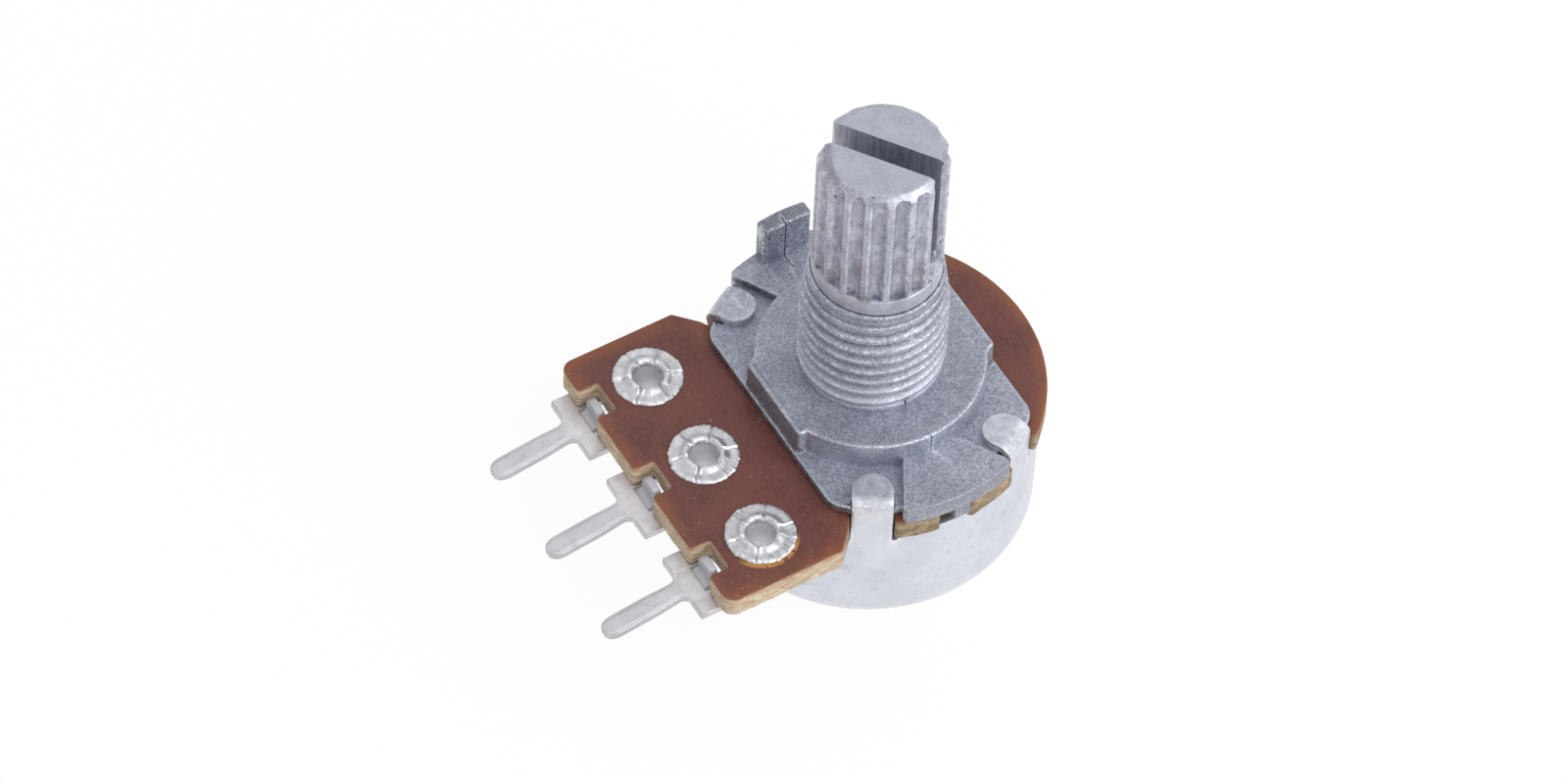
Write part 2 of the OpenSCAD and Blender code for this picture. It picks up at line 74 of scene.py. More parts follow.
# Shaft
SHAFT_R = 3.0
FLANGE_R = 4.0
FLANGE_TOP = -1.05
FLANGE_BOTTOM = BOARD_TOP + 0.05
TAIL_R = 2.4
TAIL_HALF_FLAT = 1.8
TAIL_HEAD_R = TAIL_R + 0.4
COLLAR_H = 0.95
FLUTES = 18
FLUTE_W = 0.76
FLUTE_DEPTH = 0.31
FLUTE_BASE = NECK_TOP + COLLAR_H
FLUTE_END = 0.06
FLUTE_RUN_OUT = 0.36
# Round bottom of a flute: its radius, and how far its centre lies from the axis
FLUTE_R = ((FLUTE_W / 2) ** 2 + FLUTE_DEPTH**2) / (2 * FLUTE_DEPTH)
FLUTE_CENTRE = SHAFT_R - FLUTE_DEPTH + FLUTE_R
FLUTE_COLUMNS = 20
# Blend of the flutes into the ridges between them: how tight it is, and how far outside the shaft it aims
RIDGE_SHARPNESS = 24
RIDGE_OUT = 0.016
TIP_CHAMFER = 0.45
SHOULDER_H = 0.15
SHOULDER_CURVE = 1.7
BRUISE = 0.018
SLOT_W = 1.1
SLOT_DEPTH = 6.5
SLOT_BEVEL = 0.05
# Rounding of the outside where the slot breaks out
SLOT_ROUND = 0.13
SLOT_ROUND_W = 0.34
REST_TURN = math.radians(36)
# The corner of the tip beside the slot that is worn most, seen from the slot's direction
WORN_CORNER = math.radians(203)
WORN_SPREAD = 0.42
WORN_H = 0.45
WORN_IN = 0.24

# Sheet parts
SHEET = 0.4
COVER_EDGE_R = 0.8
COVER_SOFT = 0.1
COVER_SOFT_TURN = math.radians(50)
COVER_DENT = 0.012
COVER_STEP = 1.6
TABS = (30.0, 150.0, 210.0, 330.0)
TAB_ANGLE = math.radians(TABS[0])
TAB_W = 1.9
TAB_FOLD = 1.95
TAB_TIP_CENTRE = COVER_R - TAB_FOLD + TAB_W / 2
FOLD_R = 0.7
LOOSE_TAB = 210.0
LOOSE_TAB_BULGE = 0.2
LOOSE_TAB_SPREAD = 0.7
SLIT_W = 0.25
SLIT_FOOT = BOARD_BOTTOM - 0.45
GAP_FOOT = BOARD_BOTTOM - 1.2
RIM_GAP = (270 - 42, 270 + 42)
# Half the angle of a tab, without and with the slits beside it
TAB_HALF = math.degrees(math.asin(TAB_W / 2 / COVER_R))
SLIT_HALF = math.degrees(math.asin((TAB_W / 2 + SLIT_W) / COVER_R))

# Bushing
NECK_R = 3.45
NECK_BASE_R = 3.36
NECK_ROOT = -0.6
BORE_R = 3.03
MOUTH_R = 3.13
MOUTH_EDGE = 0.06
RECESS_R = 4.25
RECESS_TOP = -1.0
THREAD_PITCH = 0.75
THREAD_DEPTH = 0.34
THREAD_FOOT = 0.3
THREAD_START_H = 0.35
THREAD_ROWS = 14
# Where the thread's flank begins and how long it is, in half pitches from the middle of a valley
FLANK_START = 0.16
FLANK_LENGTH = 0.62
NECK_COLUMNS = 168
BORE_COLUMNS = 96
LEAD_IN_H = 2.4
CREST_WEAR = 0.012
PITTING = 0.010
PARTING_W = 0.10
PARTING_FLAT = 0.45
PLATE_TOP = TAB_TOP - SHEET
PLATE_R = 7.7
PLATE_HALF_W = 5.375
PLATE_CORNER_R = 1.15
PLATE_STEP = 0.4
# Band of the plate's straight edges that takes painted shade
PLATE_SHADE_Y = (4.2, 4.6)
TAB_SEAT_R = 7.2
TAB_SEAT_GAP = 0.04
BOSS_R = 5.35
BOSS_HALF_SPAN = 5.24
BOSS_HALF_FLAT = 2.35
BOSS_SOFT = 0.22
SECTOR_TOP = PLATE_TOP + 0.5
SECTOR_APEX = 2.76
SECTOR_ROOT = 4.4
LUG_T = 0.85
LUG_W = 2.5
LUG_FACE = LUG_T - SECTOR_R
LUG_TOP = SECTOR_TOP + 2.4
LUG_CORNER = 0.12
LUG_SPLIT = -0.15
LUG_STEP = 0.06
KEY_W = 0.8
KEY_FOOT = BOARD_TOP - 0.75

# Board
BOARD_CORNER_R = 0.16
BOARD_STEP = 0.16
TORN = 0.035
# Where the lacquer shades off: the change from the round part to the tongue, then the rims of both
TONGUE_START = (-5.0, -6.4)
TONGUE_SIDE = (6.6, 7.8)
TONGUE_END = (-11.1, -12.1)
ROUND_RIM = (7.3, 8.3)
# Where the board's edge darkens along its round part: stain and the sectors' painted shadow
EDGE_STAIN_SHADOW_Y = (-6.4, -5.2)

# Terminals and rivets
PLACES = {"left": -1, "middle": 0, "right": 1}
PITCH = 5.08
RIVET_ROW = 8.8
RIVET_HOLE_R = 0.6
RIVET_WALL_R = 0.845
RIVET_HEAD_R = 1.7
RIVET_FOOT_R = 1.3
RIVET_COLUMNS = 216
RIVET_SHARP_TURN = 60
PETALS = 6
# Splits between the petals, the curls beside them, and the lip round the bore
SPLIT_W = 0.06
SPLIT_DEPTH = 0.07
CURL_OFF = 0.11
CURL_W = 0.05
CURL_H = 0.045
LIP_R = 0.92
LIP_W = 0.2
LIP_H = 0.1
LIP_IN = 0.05
RAGGED_RIM = 0.04
TERMINAL_HALF_W = 1.8
TERMINAL_REACH = 12.9
TERMINAL_CORNER = 0.06
TERMINAL_EYE_R = 1.5
TOOTH_W = 1.2
TOOTH_TOP = -2.3
TOOTH_TIP_R = 0.36
TOOTH_BEVEL = 0.05
TOOTH_BEND_R = 0.3
WINDOW_HALF_W = 0.7
WINDOW_Y = (-12.04, -10.39)
PIN_W = 1.05
PIN_ROOT = 0.3
PIN_ROOT_R = 0.45
PIN_TIP = 0.75
PIN_SLOPE = math.radians(8)
PIN_LENGTH = (PIN_REACH - TERMINAL_REACH) / math.cos(PIN_SLOPE)
PIN_WAIST = 0.08
PIN_WAIST_L = 1.6
PIN_WAVE = 0.004
RIB_W_SHARE = 0.8
RIB_H = 0.045
RIB_HOLLOW = 0.16
RIB_HOLLOW_SHARE = 0.55


# Curves and noise


def part_way(value, start, length):
    """How far a value has come along a stretch, from 0 to 1."""
    return np.clip((value - start) / length, 0, 1)


def bell(value, width):
    """1 at zero, falling off smoothly over a width."""
    return np.exp(-((value / width) ** 2))


def ripple(x, y, z, scale, seed):
    """Smooth noise from -1 to 1 at a point in millimetres."""
    return noise.noise(Vector((x * scale + seed, y * scale - seed, z * scale + 0.5 * seed)))


def ripple_round(angles, radius, z, scale, seed):
    """Smooth noise at each angle of a ring."""
    return np.array([ripple(radius * math.cos(a), radius * math.sin(a), z, scale, seed) for a in angles])


# Outlines: arrays of points, anticlockwise round the material


def arc(centre, radius, start, end, steps):
    """Points on an arc, angles in radians."""
    angles = np.linspace(start, end, steps + 1)
    return np.column_stack([centre[0] + radius * np.cos(angles), centre[1] + radius * np.sin(angles)])


def left_normals(points):
    """Mitred inward normal at each point of a closed outline."""
    before = points - np.roll(points, 1, 0)
    after = np.roll(points, -1, 0) - points
    before /= np.linalg.norm(before, axis=1)[:, None]
    after /= np.linalg.norm(after, axis=1)[:, None]
    turn = np.array([[0, 1], [-1, 0]])
    left = before @ turn
    mitre = left + after @ turn
    share = np.maximum((left * mitre).sum(1), 0.35)
    return mitre / share[:, None]


def densify(points, step):
    """The same outline with no side longer than step."""
    made = []
    for here, there in zip(points, np.roll(points, -1, 0)):
        count = max(1, math.ceil(np.linalg.norm(there - here) / step))
        made.extend(here + (there - here) * i / count for i in range(count))
    return np.array(made)


def round_corners(points, radius, steps=4):
    """Each corner of a straight-sided outline replaced by an arc."""
    made = []
    for before, here, after in zip(np.roll(points, 1, 0), points, np.roll(points, -1, 0)):
        to_before = (before - here) / np.linalg.norm(before - here)
        to_after = (after - here) / np.linalg.norm(after - here)
        half = math.acos(np.clip(to_before @ to_after, -1, 1)) / 2
        bisector = to_before + to_after
        length = np.linalg.norm(bisector)
        if length < 1e-6:
            made.append(here)
            continue
        centre = here + bisector / length * radius / math.sin(half)
        start = here + to_before * radius / math.tan(half)
        end = here + to_after * radius / math.tan(half)
        a = math.atan2(*(start - centre)[::-1])
        b = math.atan2(*(end - centre)[::-1])
        b = a + (b - a + math.pi) % (2 * math.pi) - math.pi
        made.extend(arc(centre, radius, a, b, steps))
    return np.array(made)


def signed_area(points):
    x, y = points.T
    return (x * np.roll(y, -1) - y * np.roll(x, -1)).sum() / 2


def cap_loops(node, level):
    """Outlines of a CAD node's upper faces at a level: the outer one first, then its holes clockwise."""
    bm = bmesh.new()
    bm.from_mesh(nodes[node].data)
    bmesh.ops.remove_doubles(bm, verts=bm.verts, dist=1e-7)
    bm.normal_update()
    upper = [f for f in bm.faces if f.normal.z > 0.99]
    # Gone through in the mesh's own order, so that each run starts an outline at the same point
    faces = [f for f in upper if abs(f.calc_center_median().z / MM - level) < 0.02]
    known = set(faces)
    follow = {}
    for face in faces:
        for corner in face.loops:
            if sum(other in known for other in corner.edge.link_faces) == 1:
                follow[corner.vert] = corner.link_loop_next.vert
    loops = []
    while follow:
        start, here = follow.popitem()
        chain = [start]
        while here is not start:
            chain.append(here)
            here = follow.pop(here)
        loops.append(np.array([v.co.xy for v in chain]) / MM)
    bm.free()
    return sorted(loops, key=lambda p: -signed_area(p))


def rounded_edge(top, radius, support=0.14, steps=4):
    """Profile rows of a rounded upper edge, and a ring that keeps the cap flat."""
    rows = [(0, top - radius)]
    for i in range(1, steps + 1):
        angle = i * math.pi / 2 / steps
        rows.append((radius * (1 - math.cos(angle)), top - radius * (1 - math.sin(angle))))
    return rows + [(radius + support, top)]


def rounded_profile(bottom, top, radius, support=0.14, steps=4, foot=0.03):
    """Straight side with a small foot bevel and a rounded upper edge."""
    return [(foot, bottom), (0, bottom + foot)] + rounded_edge(top, radius, support, steps)


# Meshes


class Shape:
    """Points and faces of a piece in millimetres, gathered before its mesh is made."""

    def __init__(self):
        self.points = []
        self.faces = []
        self.slots = []

    def ring(self, points):
        start = len(self.points)
        self.points.extend(tuple(p) for p in points)
        return range(start, len(self.points))

    def face(self, corners, slot=0):
        self.faces.append(tuple(corners))
        self.slots.append(slot)

    def strips(self, stack, slot=0):
        """Bands of faces from each ring of a stack to the next."""
        for lower, upper in zip(stack, stack[1:]):
            for i in range(len(lower)):
                j = (i + 1) % len(lower)
                self.face((lower[i], lower[j], upper[j], upper[i]), slot)

    def cap(self, rings):
        """Flat faces inside the first ring and outside the others."""
        loops = [[Vector(self.points[i]) for i in ring] for ring in rings]
        index = [i for ring in rings for i in ring]
        for triangle in geometry.tessellate_polygon(loops):
            self.face([index[i] for i in triangle])

    def prism(self, loops, profile, side_slot=0, ragged=None):
        """Outlines swept up a profile of (inset, level) rows, closed by caps."""
        stacks = []
        for points in loops:
            normals = left_normals(points)
            stack = []
            for distance, level in profile:
                row = points + normals * distance
                if ragged:
                    row = row + normals * np.array([ragged(x, y, level) for x, y in row])[:, None]
                stack.append(self.ring(np.column_stack([row, np.full(len(row), level)])))
            self.strips(stack, side_slot)
            stacks.append(stack)
        self.cap([stack[0] for stack in stacks])
        self.cap([stack[-1] for stack in stacks])
        return self

    def tube(self, rings):
        """Rings joined in order and closed at both ends."""
        stack = [self.ring(points) for points in rings]
        self.strips(stack)
        self.face(reversed(stack[0]))
        self.face(stack[-1])
        return self

    def lathe(self, radius_at, levels, columns):
        """A tube about the axis, radius_at(angles, row) giving each ring's radii."""
        angles = np.linspace(0, 2 * math.pi, columns, endpoint=False)
        return self.tube(turned(angles, radius_at(angles, row), level) for row, level in enumerate(levels))

    def object(self, name, materials):
        mesh = bpy.data.meshes.new(name)
        mesh.from_pydata(self.points, [], self.faces)
        mesh.polygons.foreach_set("material_index", self.slots)
        for material in materials:
            mesh.materials.append(material)
        clean(mesh)
        piece = bpy.data.objects.new(name, mesh)
        bpy.context.scene.collection.objects.link(piece)
        return piece


def turned(angles, radii, levels):
    """Points at angles, radii and levels about the axis."""
    return np.column_stack([radii * np.cos(angles), radii * np.sin(angles), np.full(len(angles), levels)])


def clean(mesh):
    bm = bmesh.new()
    bm.from_mesh(mesh)
    bmesh.ops.remove_doubles(bm, verts=bm.verts, dist=1e-5)
    bmesh.ops.recalc_face_normals(bm, faces=bm.faces)
    bm.to_mesh(mesh)
    bm.free()


def modify(piece, kind, **settings):
    """Runs one modifier on a piece and keeps the result."""
    modifier = piece.modifiers.new(kind, kind)
    for name, value in settings.items():
        setattr(modifier, name, value)
    graph = bpy.context.evaluated_depsgraph_get()
    mesh = bpy.data.meshes.new_from_object(piece.evaluated_get(graph))
    piece.modifiers.clear()
    piece.data = mesh


def combine(target, tool, operation):
    """Union or difference of two pieces; the tool is used up."""
    modify(target, "BOOLEAN", operation=operation, solver="EXACT", object=tool)
    bpy.data.objects.remove(tool)


def mark_relief(mesh, full=30):
    """Keeps in wear and hollow how far each point stands out or lies in: 1 from a turn of full degrees."""
    bm = bmesh.new()
    bm.from_mesh(mesh)
    out, into = np.zeros(len(bm.verts)), np.zeros(len(bm.verts))
    for edge in bm.edges:
        turn = math.degrees(edge.calc_face_angle_signed(0)) / full
        for vert in edge.verts:
            out[vert.index] = max(out[vert.index], turn)
            into[vert.index] = max(into[vert.index], -turn)
    bm.free()
    for name, values in (("wear", out), ("hollow", into)):
        layer = mesh.attributes.new(name, "FLOAT", "POINT")
        layer.data.foreach_set("value", np.clip(values, 0, 1).astype(np.float32))


def settle(piece, body, node, sharp=SHARP_TURN):
    """Scales a finished piece to metres, smooths it, and lets it stand for its CAD node."""
    piece.data.transform(Matrix.Scale(MM, 4))
    mark_relief(piece.data)
    piece.data.shade_smooth()
    piece.data.set_sharp_from_angle(angle=math.radians(sharp))
    # Large faces keep their own direction where smooth shading would bend it
    modify(piece, "WEIGHTED_NORMAL", mode="FACE_AREA", weight=50, keep_sharp=True)
    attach(piece, body)
    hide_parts(node)
    return piece


# Materials


class Graph:
    """A node tree with short ways to add to it."""

    def __init__(self, tree):
        self.tree = tree

    def add(self, kind, **settings):
        node = self.tree.nodes.new("ShaderNode" + kind)
        for name, value in settings.items():
            setattr(node, name, value)
        return node

    def put(self, socket, value):
        """Links or sets an input. A colour is given without its alpha."""
        if isinstance(value, bpy.types.NodeSocket):
            self.tree.links.new(value, socket)
        elif socket.type == "RGBA":
            socket.default_value = (*value, 1.0)
        else:
            socket.default_value = value

    def fill(self, node, values):
        """Puts values into a node's inputs, by name or number, and gives its first output."""
        for name, value in values.items():
            self.put(node.inputs[name], value)
        return node.outputs[0]

    def math(self, kind, a, b=0.0):
        return self.fill(self.add("Math", operation=kind), {0: a, 1: b})

    def chain(self, kind, values):
        """One operation over several values in turn."""
        total = values[0]
        for value in values[1:]:
            total = self.math(kind, total, value)
        return total

    def times(self, *values):
        return self.chain("MULTIPLY", values)

    def plus(self, *values):
        return self.chain("ADD", values)

    def most(self, *values):
        return self.chain("MAXIMUM", values)

    def minus(self, a, b):
        return self.math("SUBTRACT", a, b)

    def magnitude(self, value):
        return self.math("ABSOLUTE", value)

    def distance(self, x, y):
        return self.math("SQRT", self.plus(self.times(x, x), self.times(y, y)))


class Surface(Graph):
    """A material's nodes, with places in the object's own frame."""

    def __init__(self, name):
        self.material = bpy.data.materials.new(name)
        self.material.use_nodes = True
        super().__init__(self.material.node_tree)
        self.place = self.add("TexCoord").outputs["Object"]
        self.colour = None
        self.relief = None

    def noise(self, size, detail=3, roughness=0.55, stretch=(1, 1, 1), seed=0):
        """Noise whose features are about size millimetres across."""
        moved = {"Vector": self.place, "Location": (seed, seed, seed), "Scale": stretch}
        values = {"Scale": 1 / (size * MM), "Detail": detail, "Roughness": roughness}
        values["Vector"] = self.fill(self.add("Mapping"), moved)
        return self.fill(self.add("TexNoise"), values)

    def fade(self, value, low, high, to_low=0.0, to_high=1.0):
        """A smooth change of level while a value goes from low to high."""
        values = {"Value": value, "From Min": low, "From Max": high, "To Min": to_low, "To Max": to_high}
        return self.fill(self.add("MapRange", interpolation_type="SMOOTHSTEP"), values)

    def mix(self, factor, a, b):
        node = self.add("Mix", data_type="RGBA")
        self.fill(node, {0: factor, 6: a, 7: b})
        return node.outputs[2]

    def ground(self, factor, a, b):
        """The colour to begin with, between two tones."""
        self.colour = self.mix(factor, a, b)

    def tint(self, tone, *shares):
        """Moves the colour towards a tone by the product of the shares."""
        self.colour = self.mix(self.times(*shares), self.colour, tone)

    def attribute(self, name):
        return self.add("Attribute", attribute_name=name).outputs["Fac"]

    def axes(self):
        """The place's three coordinates in millimetres."""
        node = self.add("SeparateXYZ")
        self.put(node.inputs[0], self.place)
        return [self.math("DIVIDE", axis, MM) for axis in node.outputs]

    def bump(self, height, depth, strength):
        """Adds relief of a depth in millimetres."""
        values = {"Height": height, "Distance": depth * MM, "Strength": strength}
        if self.relief:
            values["Normal"] = self.relief
        self.relief = self.fill(self.add("Bump"), values)

    def finish(self, roughness, metallic=0.0):
        values = {"Base Color": self.colour, "Normal": self.relief}
        values.update({"Roughness": roughness, "Metallic": metallic})
        self.fill(self.tree.nodes["Principled BSDF"], values)
        return self.material


METAL = 0.95
# Size, detail, roughness, stretch and seed of the scratches in tin
SCRATCHES = (0.09, 2, 0.6, (1, 0.12, 0.5), 9)


def cast_ground(s, grain, mottle):
    """Sandy grey of the casting before dirt and wear."""
    blotch = s.noise(1.9, 4, 0.6, seed=3)
    s.ground(s.fade(blotch, 0.34, 0.66), (0.46, 0.485, 0.58), (0.58, 0.605, 0.705))
    s.tint((0.29, 0.31, 0.375), s.fade(mottle, 0.36, 0.58, 0.45, 0.0))
    s.tint((0.21, 0.225, 0.275), s.fade(grain, 0.36, 0.60, 0.75, 0.0))


def cast_lug(s, x, y, z):
    """The lug, darker than the plate as dull metal and painted shade, and darkest on its top and at one end.
    """
    on_lug = s.times(s.fade(x, LUG_FACE + 0.25, LUG_FACE - 0.25), s.fade(z, SECTOR_TOP, SECTOR_TOP + 0.3))
    s.tint((0.25, 0.265, 0.315), on_lug, 0.6)
    top = s.fade(z, LUG_TOP - 0.16, LUG_TOP - 0.04, 0.0, 0.35)
    end = s.fade(y, 0.18 - LUG_W / 2, 0.02 - LUG_W / 2, 0.0, 0.6)
    s.tint((0.15, 0.155, 0.185), on_lug, s.most(top, end))


def cast_thread(s, radius, z):
    """The thread, paler towards its foot and dark in its valleys as painted shade."""
    on_thread = s.times(s.fade(radius, NECK_R + 0.1, NECK_R + 0.05), s.fade(z, 0.05, 0.25))
    s.tint((0.76, 0.775, 0.85), on_thread, s.fade(z, 2.4, 0.8, 0.0, 0.4))
    # Painted shade in the thread's valleys
    s.tint((0.13, 0.135, 0.16), s.attribute("hollow"), on_thread, 0.75)


def cast_painted_shade(s, radius, y, z):
    """Painted shade on the upright walls: the plate's straight edges, the sectors and the boss's flats."""
    plate = s.times(
        s.fade(z, PLATE_TOP - 0.05, PLATE_TOP - 0.14),
        s.fade(s.magnitude(y), *PLATE_SHADE_Y),
        0.85,
    )
    sector = s.times(
        s.fade(z, PLATE_TOP + 0.02, PLATE_TOP + 0.08),
        s.fade(z, SECTOR_TOP - 0.06, SECTOR_TOP - 0.14),
        s.fade(radius, BOSS_R + 0.1, BOSS_R + 0.2),
        s.fade(radius, SECTOR_R - 0.1, SECTOR_R - 0.25),
        0.65,
    )
    flat = s.times(
        s.fade(z, PLATE_TOP + 0.03, PLATE_TOP + 0.1),
        s.fade(z, -0.05, -0.13),
        s.fade(s.magnitude(y), BOSS_HALF_SPAN - 0.08, BOSS_HALF_SPAN - 0.03),
        0.5,
    )
    s.tint((0.085, 0.083, 0.095), s.most(plate, sector, flat))


def cast_zinc():
    s = Surface("cast_zinc")
    x, y, z = s.axes()
    radius = s.distance(x, y)
    grain = s.noise(0.14, 5, 0.7)
    mottle = s.noise(0.45, 5, 0.75, seed=19)
    cast_ground(s, grain, mottle)
    cast_lug(s, x, y, z)
    cast_thread(s, radius, z)
    # Painted shade on the upright walls
    cast_painted_shade(s, radius, y, z)
    # Painted shade on the outer walls of the sectors, which also wear less
    on_rim = s.fade(radius, SECTOR_R - 0.2, SECTOR_R - 0.05)
    s.tint((0.27, 0.275, 0.325), on_rim, 0.7)
    worn = s.times(
        s.attribute("wear"),
        s.fade(s.noise(0.16, 5, 0.7, seed=11), 0.40, 0.62),
        s.minus(1.0, s.times(on_rim, 0.6)),
        s.fade(s.noise(1.3, 3, 0.6, seed=71), 0.38, 0.54, 0.4, 1.0),
    )
    # Worn edges turn pale, and sparkle adds painted glints in sparse specks
    sparkle = s.fade(s.noise(0.09, 1, seed=7), 0.63, 0.72)
    s.tint((0.80, 0.815, 0.87), s.most(s.times(worn, 0.95), s.times(sparkle, 0.5)))
    rough = s.minus(s.fade(grain, 0.3, 0.7, 0.48, 0.62), s.times(worn, 0.2))
    s.bump(mottle, 0.03, 0.5)
    s.bump(grain, 0.035, 0.9)
    return s.finish(rough, METAL)


def flute_colour(s, radius, z, grain, blotch):
    """Mottled grey of the fluted part, dirty low down and dark in patches of its valleys, as dirt and painted
    shade.
    """
    s.ground(s.fade(blotch, 0.36, 0.64), (0.51, 0.52, 0.61), (0.69, 0.70, 0.80))
    s.tint((0.24, 0.24, 0.28), s.fade(grain, 0.33, 0.60, 0.5, 0.0))
    dirt = s.fade(s.noise(0.8, 4, 0.65, (1, 1, 0.6), seed=13), 0.50, 0.68)
    low = s.fade(z, FLUTE_BASE + 4.25, FLUTE_BASE + 0.05)
    s.tint((0.15, 0.135, 0.125), dirt, low, 0.6)
    # Dirt and painted shade in patches of the flutes' valleys
    valley = s.times(
        s.fade(radius, SHAFT_R - 0.06, SHAFT_R - 0.28),
        s.fade(z, NECK_TOP, FLUTE_BASE),
        s.fade(z, SHAFT_TIP - 0.25, SHAFT_TIP - 0.6, 0.5, 1.0),
    )
    patch = s.fade(s.noise(0.5, 5, 0.7, (1, 1, 0.5), seed=67), 0.42, 0.60, 0.10, 0.62)
    s.tint((0.25, 0.255, 0.31), valley, patch)
    speck = s.fade(s.noise(0.3, 2, 0.5, seed=29), 0.68, 0.73)
    s.tint((0.075, 0.065, 0.06), speck, 0.8)


def tip_colour(s, grain, z):
    """The flat end of the shaft, in a darker grey of its own."""
    face = s.mix(s.fade(grain, 0.3, 0.62), (0.41, 0.42, 0.495), (0.53, 0.54, 0.625))
    mottle = s.fade(s.noise(1.1, 4, 0.65, seed=71), 0.36, 0.64, 0.0, 0.5)
    face = s.mix(mottle, face, (0.60, 0.61, 0.70))
    s.tint(face, s.fade(z, SHAFT_TIP - 0.02, SHAFT_TIP - 0.004))


def slot_colour(s, x, y, z):
    """Walls of the slot, brightened with painted light against their shade, and streaked."""
    across = s.plus(s.times(x, -math.sin(REST_TURN)), s.times(y, math.cos(REST_TURN)))
    between_walls = s.fade(s.magnitude(across), SLOT_W / 2 + 0.01, SLOT_W / 2)
    in_slot = s.times(between_walls, s.fade(z, SHAFT_TIP - 0.02, SHAFT_TIP - 0.06))
    streak = s.fade(s.noise(0.12, 3, 0.6, (1, 1, 0.06), seed=23), 0.40, 0.65, 0.0, 0.45)
    # Painted light on the slot's walls
    s.tint((0.72, 0.74, 0.82), in_slot, 0.75)
    s.tint((0.20, 0.21, 0.24), in_slot, streak)


def shaft_zinc():
    s = Surface("shaft_zinc")
    x, y, z = s.axes()
    grain = s.noise(0.14, 4, 0.65)
    blotch = s.noise(0.55, 4, 0.6, (1, 1, 0.6), seed=5)
    flute_colour(s, s.distance(x, y), z, grain, blotch)
    worn = s.times(
        s.attribute("wear"),
        s.fade(s.noise(0.4, 3, seed=2), 0.40, 0.64),
        s.fade(z, FLUTE_BASE + 0.25, FLUTE_BASE + 0.85),
        s.fade(z, SHAFT_TIP - 0.2, SHAFT_TIP - 0.7, 0.6, 1.0),
    )
    s.tint((0.78, 0.79, 0.85), worn, 0.75)
    collar = s.fade(z, FLUTE_BASE, FLUTE_BASE - 0.08, 0.0, 0.7)
    s.tint((0.43, 0.44, 0.51), collar)
    tip_colour(s, grain, z)
    slot_colour(s, x, y, z)
    rough = s.minus(s.fade(grain, 0.3, 0.7, 0.38, 0.54), s.times(worn, 0.12))
    s.bump(blotch, 0.02, 0.5)
    s.bump(grain, 0.014, 0.6)
    return s.finish(rough, METAL)


def satin_tin(s, dull, pale, rough_range, edge_tone=(0.90, 0.905, 0.92), edge_share=0.8):
    """Colour and relief of satin tin with scuffs, scratches and a few specks; gives its roughness."""
    cloud = s.noise(2.2, 4, 0.6)
    scuff = s.noise(0.5, 5, 0.7, seed=4)
    s.ground(s.fade(cloud, 0.35, 0.65), dull, pale)
    s.tint((0.45, 0.45, 0.475), s.fade(scuff, 0.30, 0.48, 0.35, 0.0))
    speck = s.fade(s.noise(0.16, 2, seed=21), 0.70, 0.76)
    s.tint((0.16, 0.155, 0.15), speck, s.fade(cloud, 0.45, 0.62), 0.7)
    # Raised edges take an edge tone: worn pale on the rivets and cover, painted shade on the terminals
    s.tint(edge_tone, s.attribute("wear"), edge_share)
    s.bump(cloud, 0.02, 0.4)
    s.bump(s.noise(*SCRATCHES), 0.004, 0.5)
    return s.fade(scuff, 0.3, 0.7, *rough_range)


def terminal_tin():
    """Tin of the terminals, rubbed and stained where they were pressed and soldered, with painted shade on
    its edges, pins and tooth.
    """
    s = Surface("terminal_tin")
    tones = (0.80, 0.79, 0.83), (0.88, 0.87, 0.91)
    # Dark edge tone: painted shade along the terminals' raised edges
    rough = satin_tin(s, *tones, (0.56, 0.44), (0.34, 0.335, 0.35), 0.5)
    _, y, z = s.axes()
    stain = s.fade(s.noise(0.9, 5, 0.7, (1.4, 0.5, 1), seed=37), 0.45, 0.68)
    s.tint((0.36, 0.34, 0.33), stain, 0.22)
    rub = s.fade(s.noise(*SCRATCHES), 0.54, 0.70)
    s.tint((0.40, 0.39, 0.40), rub, 0.132)
    # Painted shade: the pins darker than the plate of the same tin
    on_pin = s.fade(y, 0.1 - TERMINAL_REACH, -TERMINAL_REACH - 0.5)
    s.tint((0.42, 0.415, 0.44), on_pin, 0.28)
    # Painted shade: the tooth a darker grey than the plate of the same tin
    on_tooth = s.fade(z, TERMINAL_TOP + 0.1, TERMINAL_TOP + 0.4)
    s.tint((0.58, 0.59, 0.63), on_tooth, 0.4)
    rough = s.most(rough, s.times(on_tooth, 0.65))
    s.bump(s.noise(0.3, 4, 0.65, seed=41), 0.02, 0.7)
    return s.finish(rough, METAL)


def rivet_tin():
    """Bright, crinkled tin of the rivets, mottled outside the bore and painted a little darker inside it as
    shade.
    """
    s = Surface("rivet_tin")
    tones = (0.66, 0.66, 0.69), (0.80, 0.80, 0.83)
    rough = satin_tin(s, *tones, (0.42, 0.30))
    in_bore = s.fade(s.axes()[2], BOARD_TOP + 0.06, BOARD_TOP - 0.1)
    mottle = s.fade(s.noise(0.32, 4, 0.65, seed=73), 0.40, 0.60, 0.5, 0.0)
    s.tint((0.46, 0.465, 0.50), mottle, s.minus(1.0, in_bore))
    # Painted shade inside the bore
    s.tint((0.47, 0.465, 0.49), in_bore, 0.1)
    rough = s.most(rough, s.times(in_bore, 0.62))
    s.bump(s.noise(0.17, 4, 0.65, seed=15), 0.03, 0.9)
    return s.finish(rough, METAL)


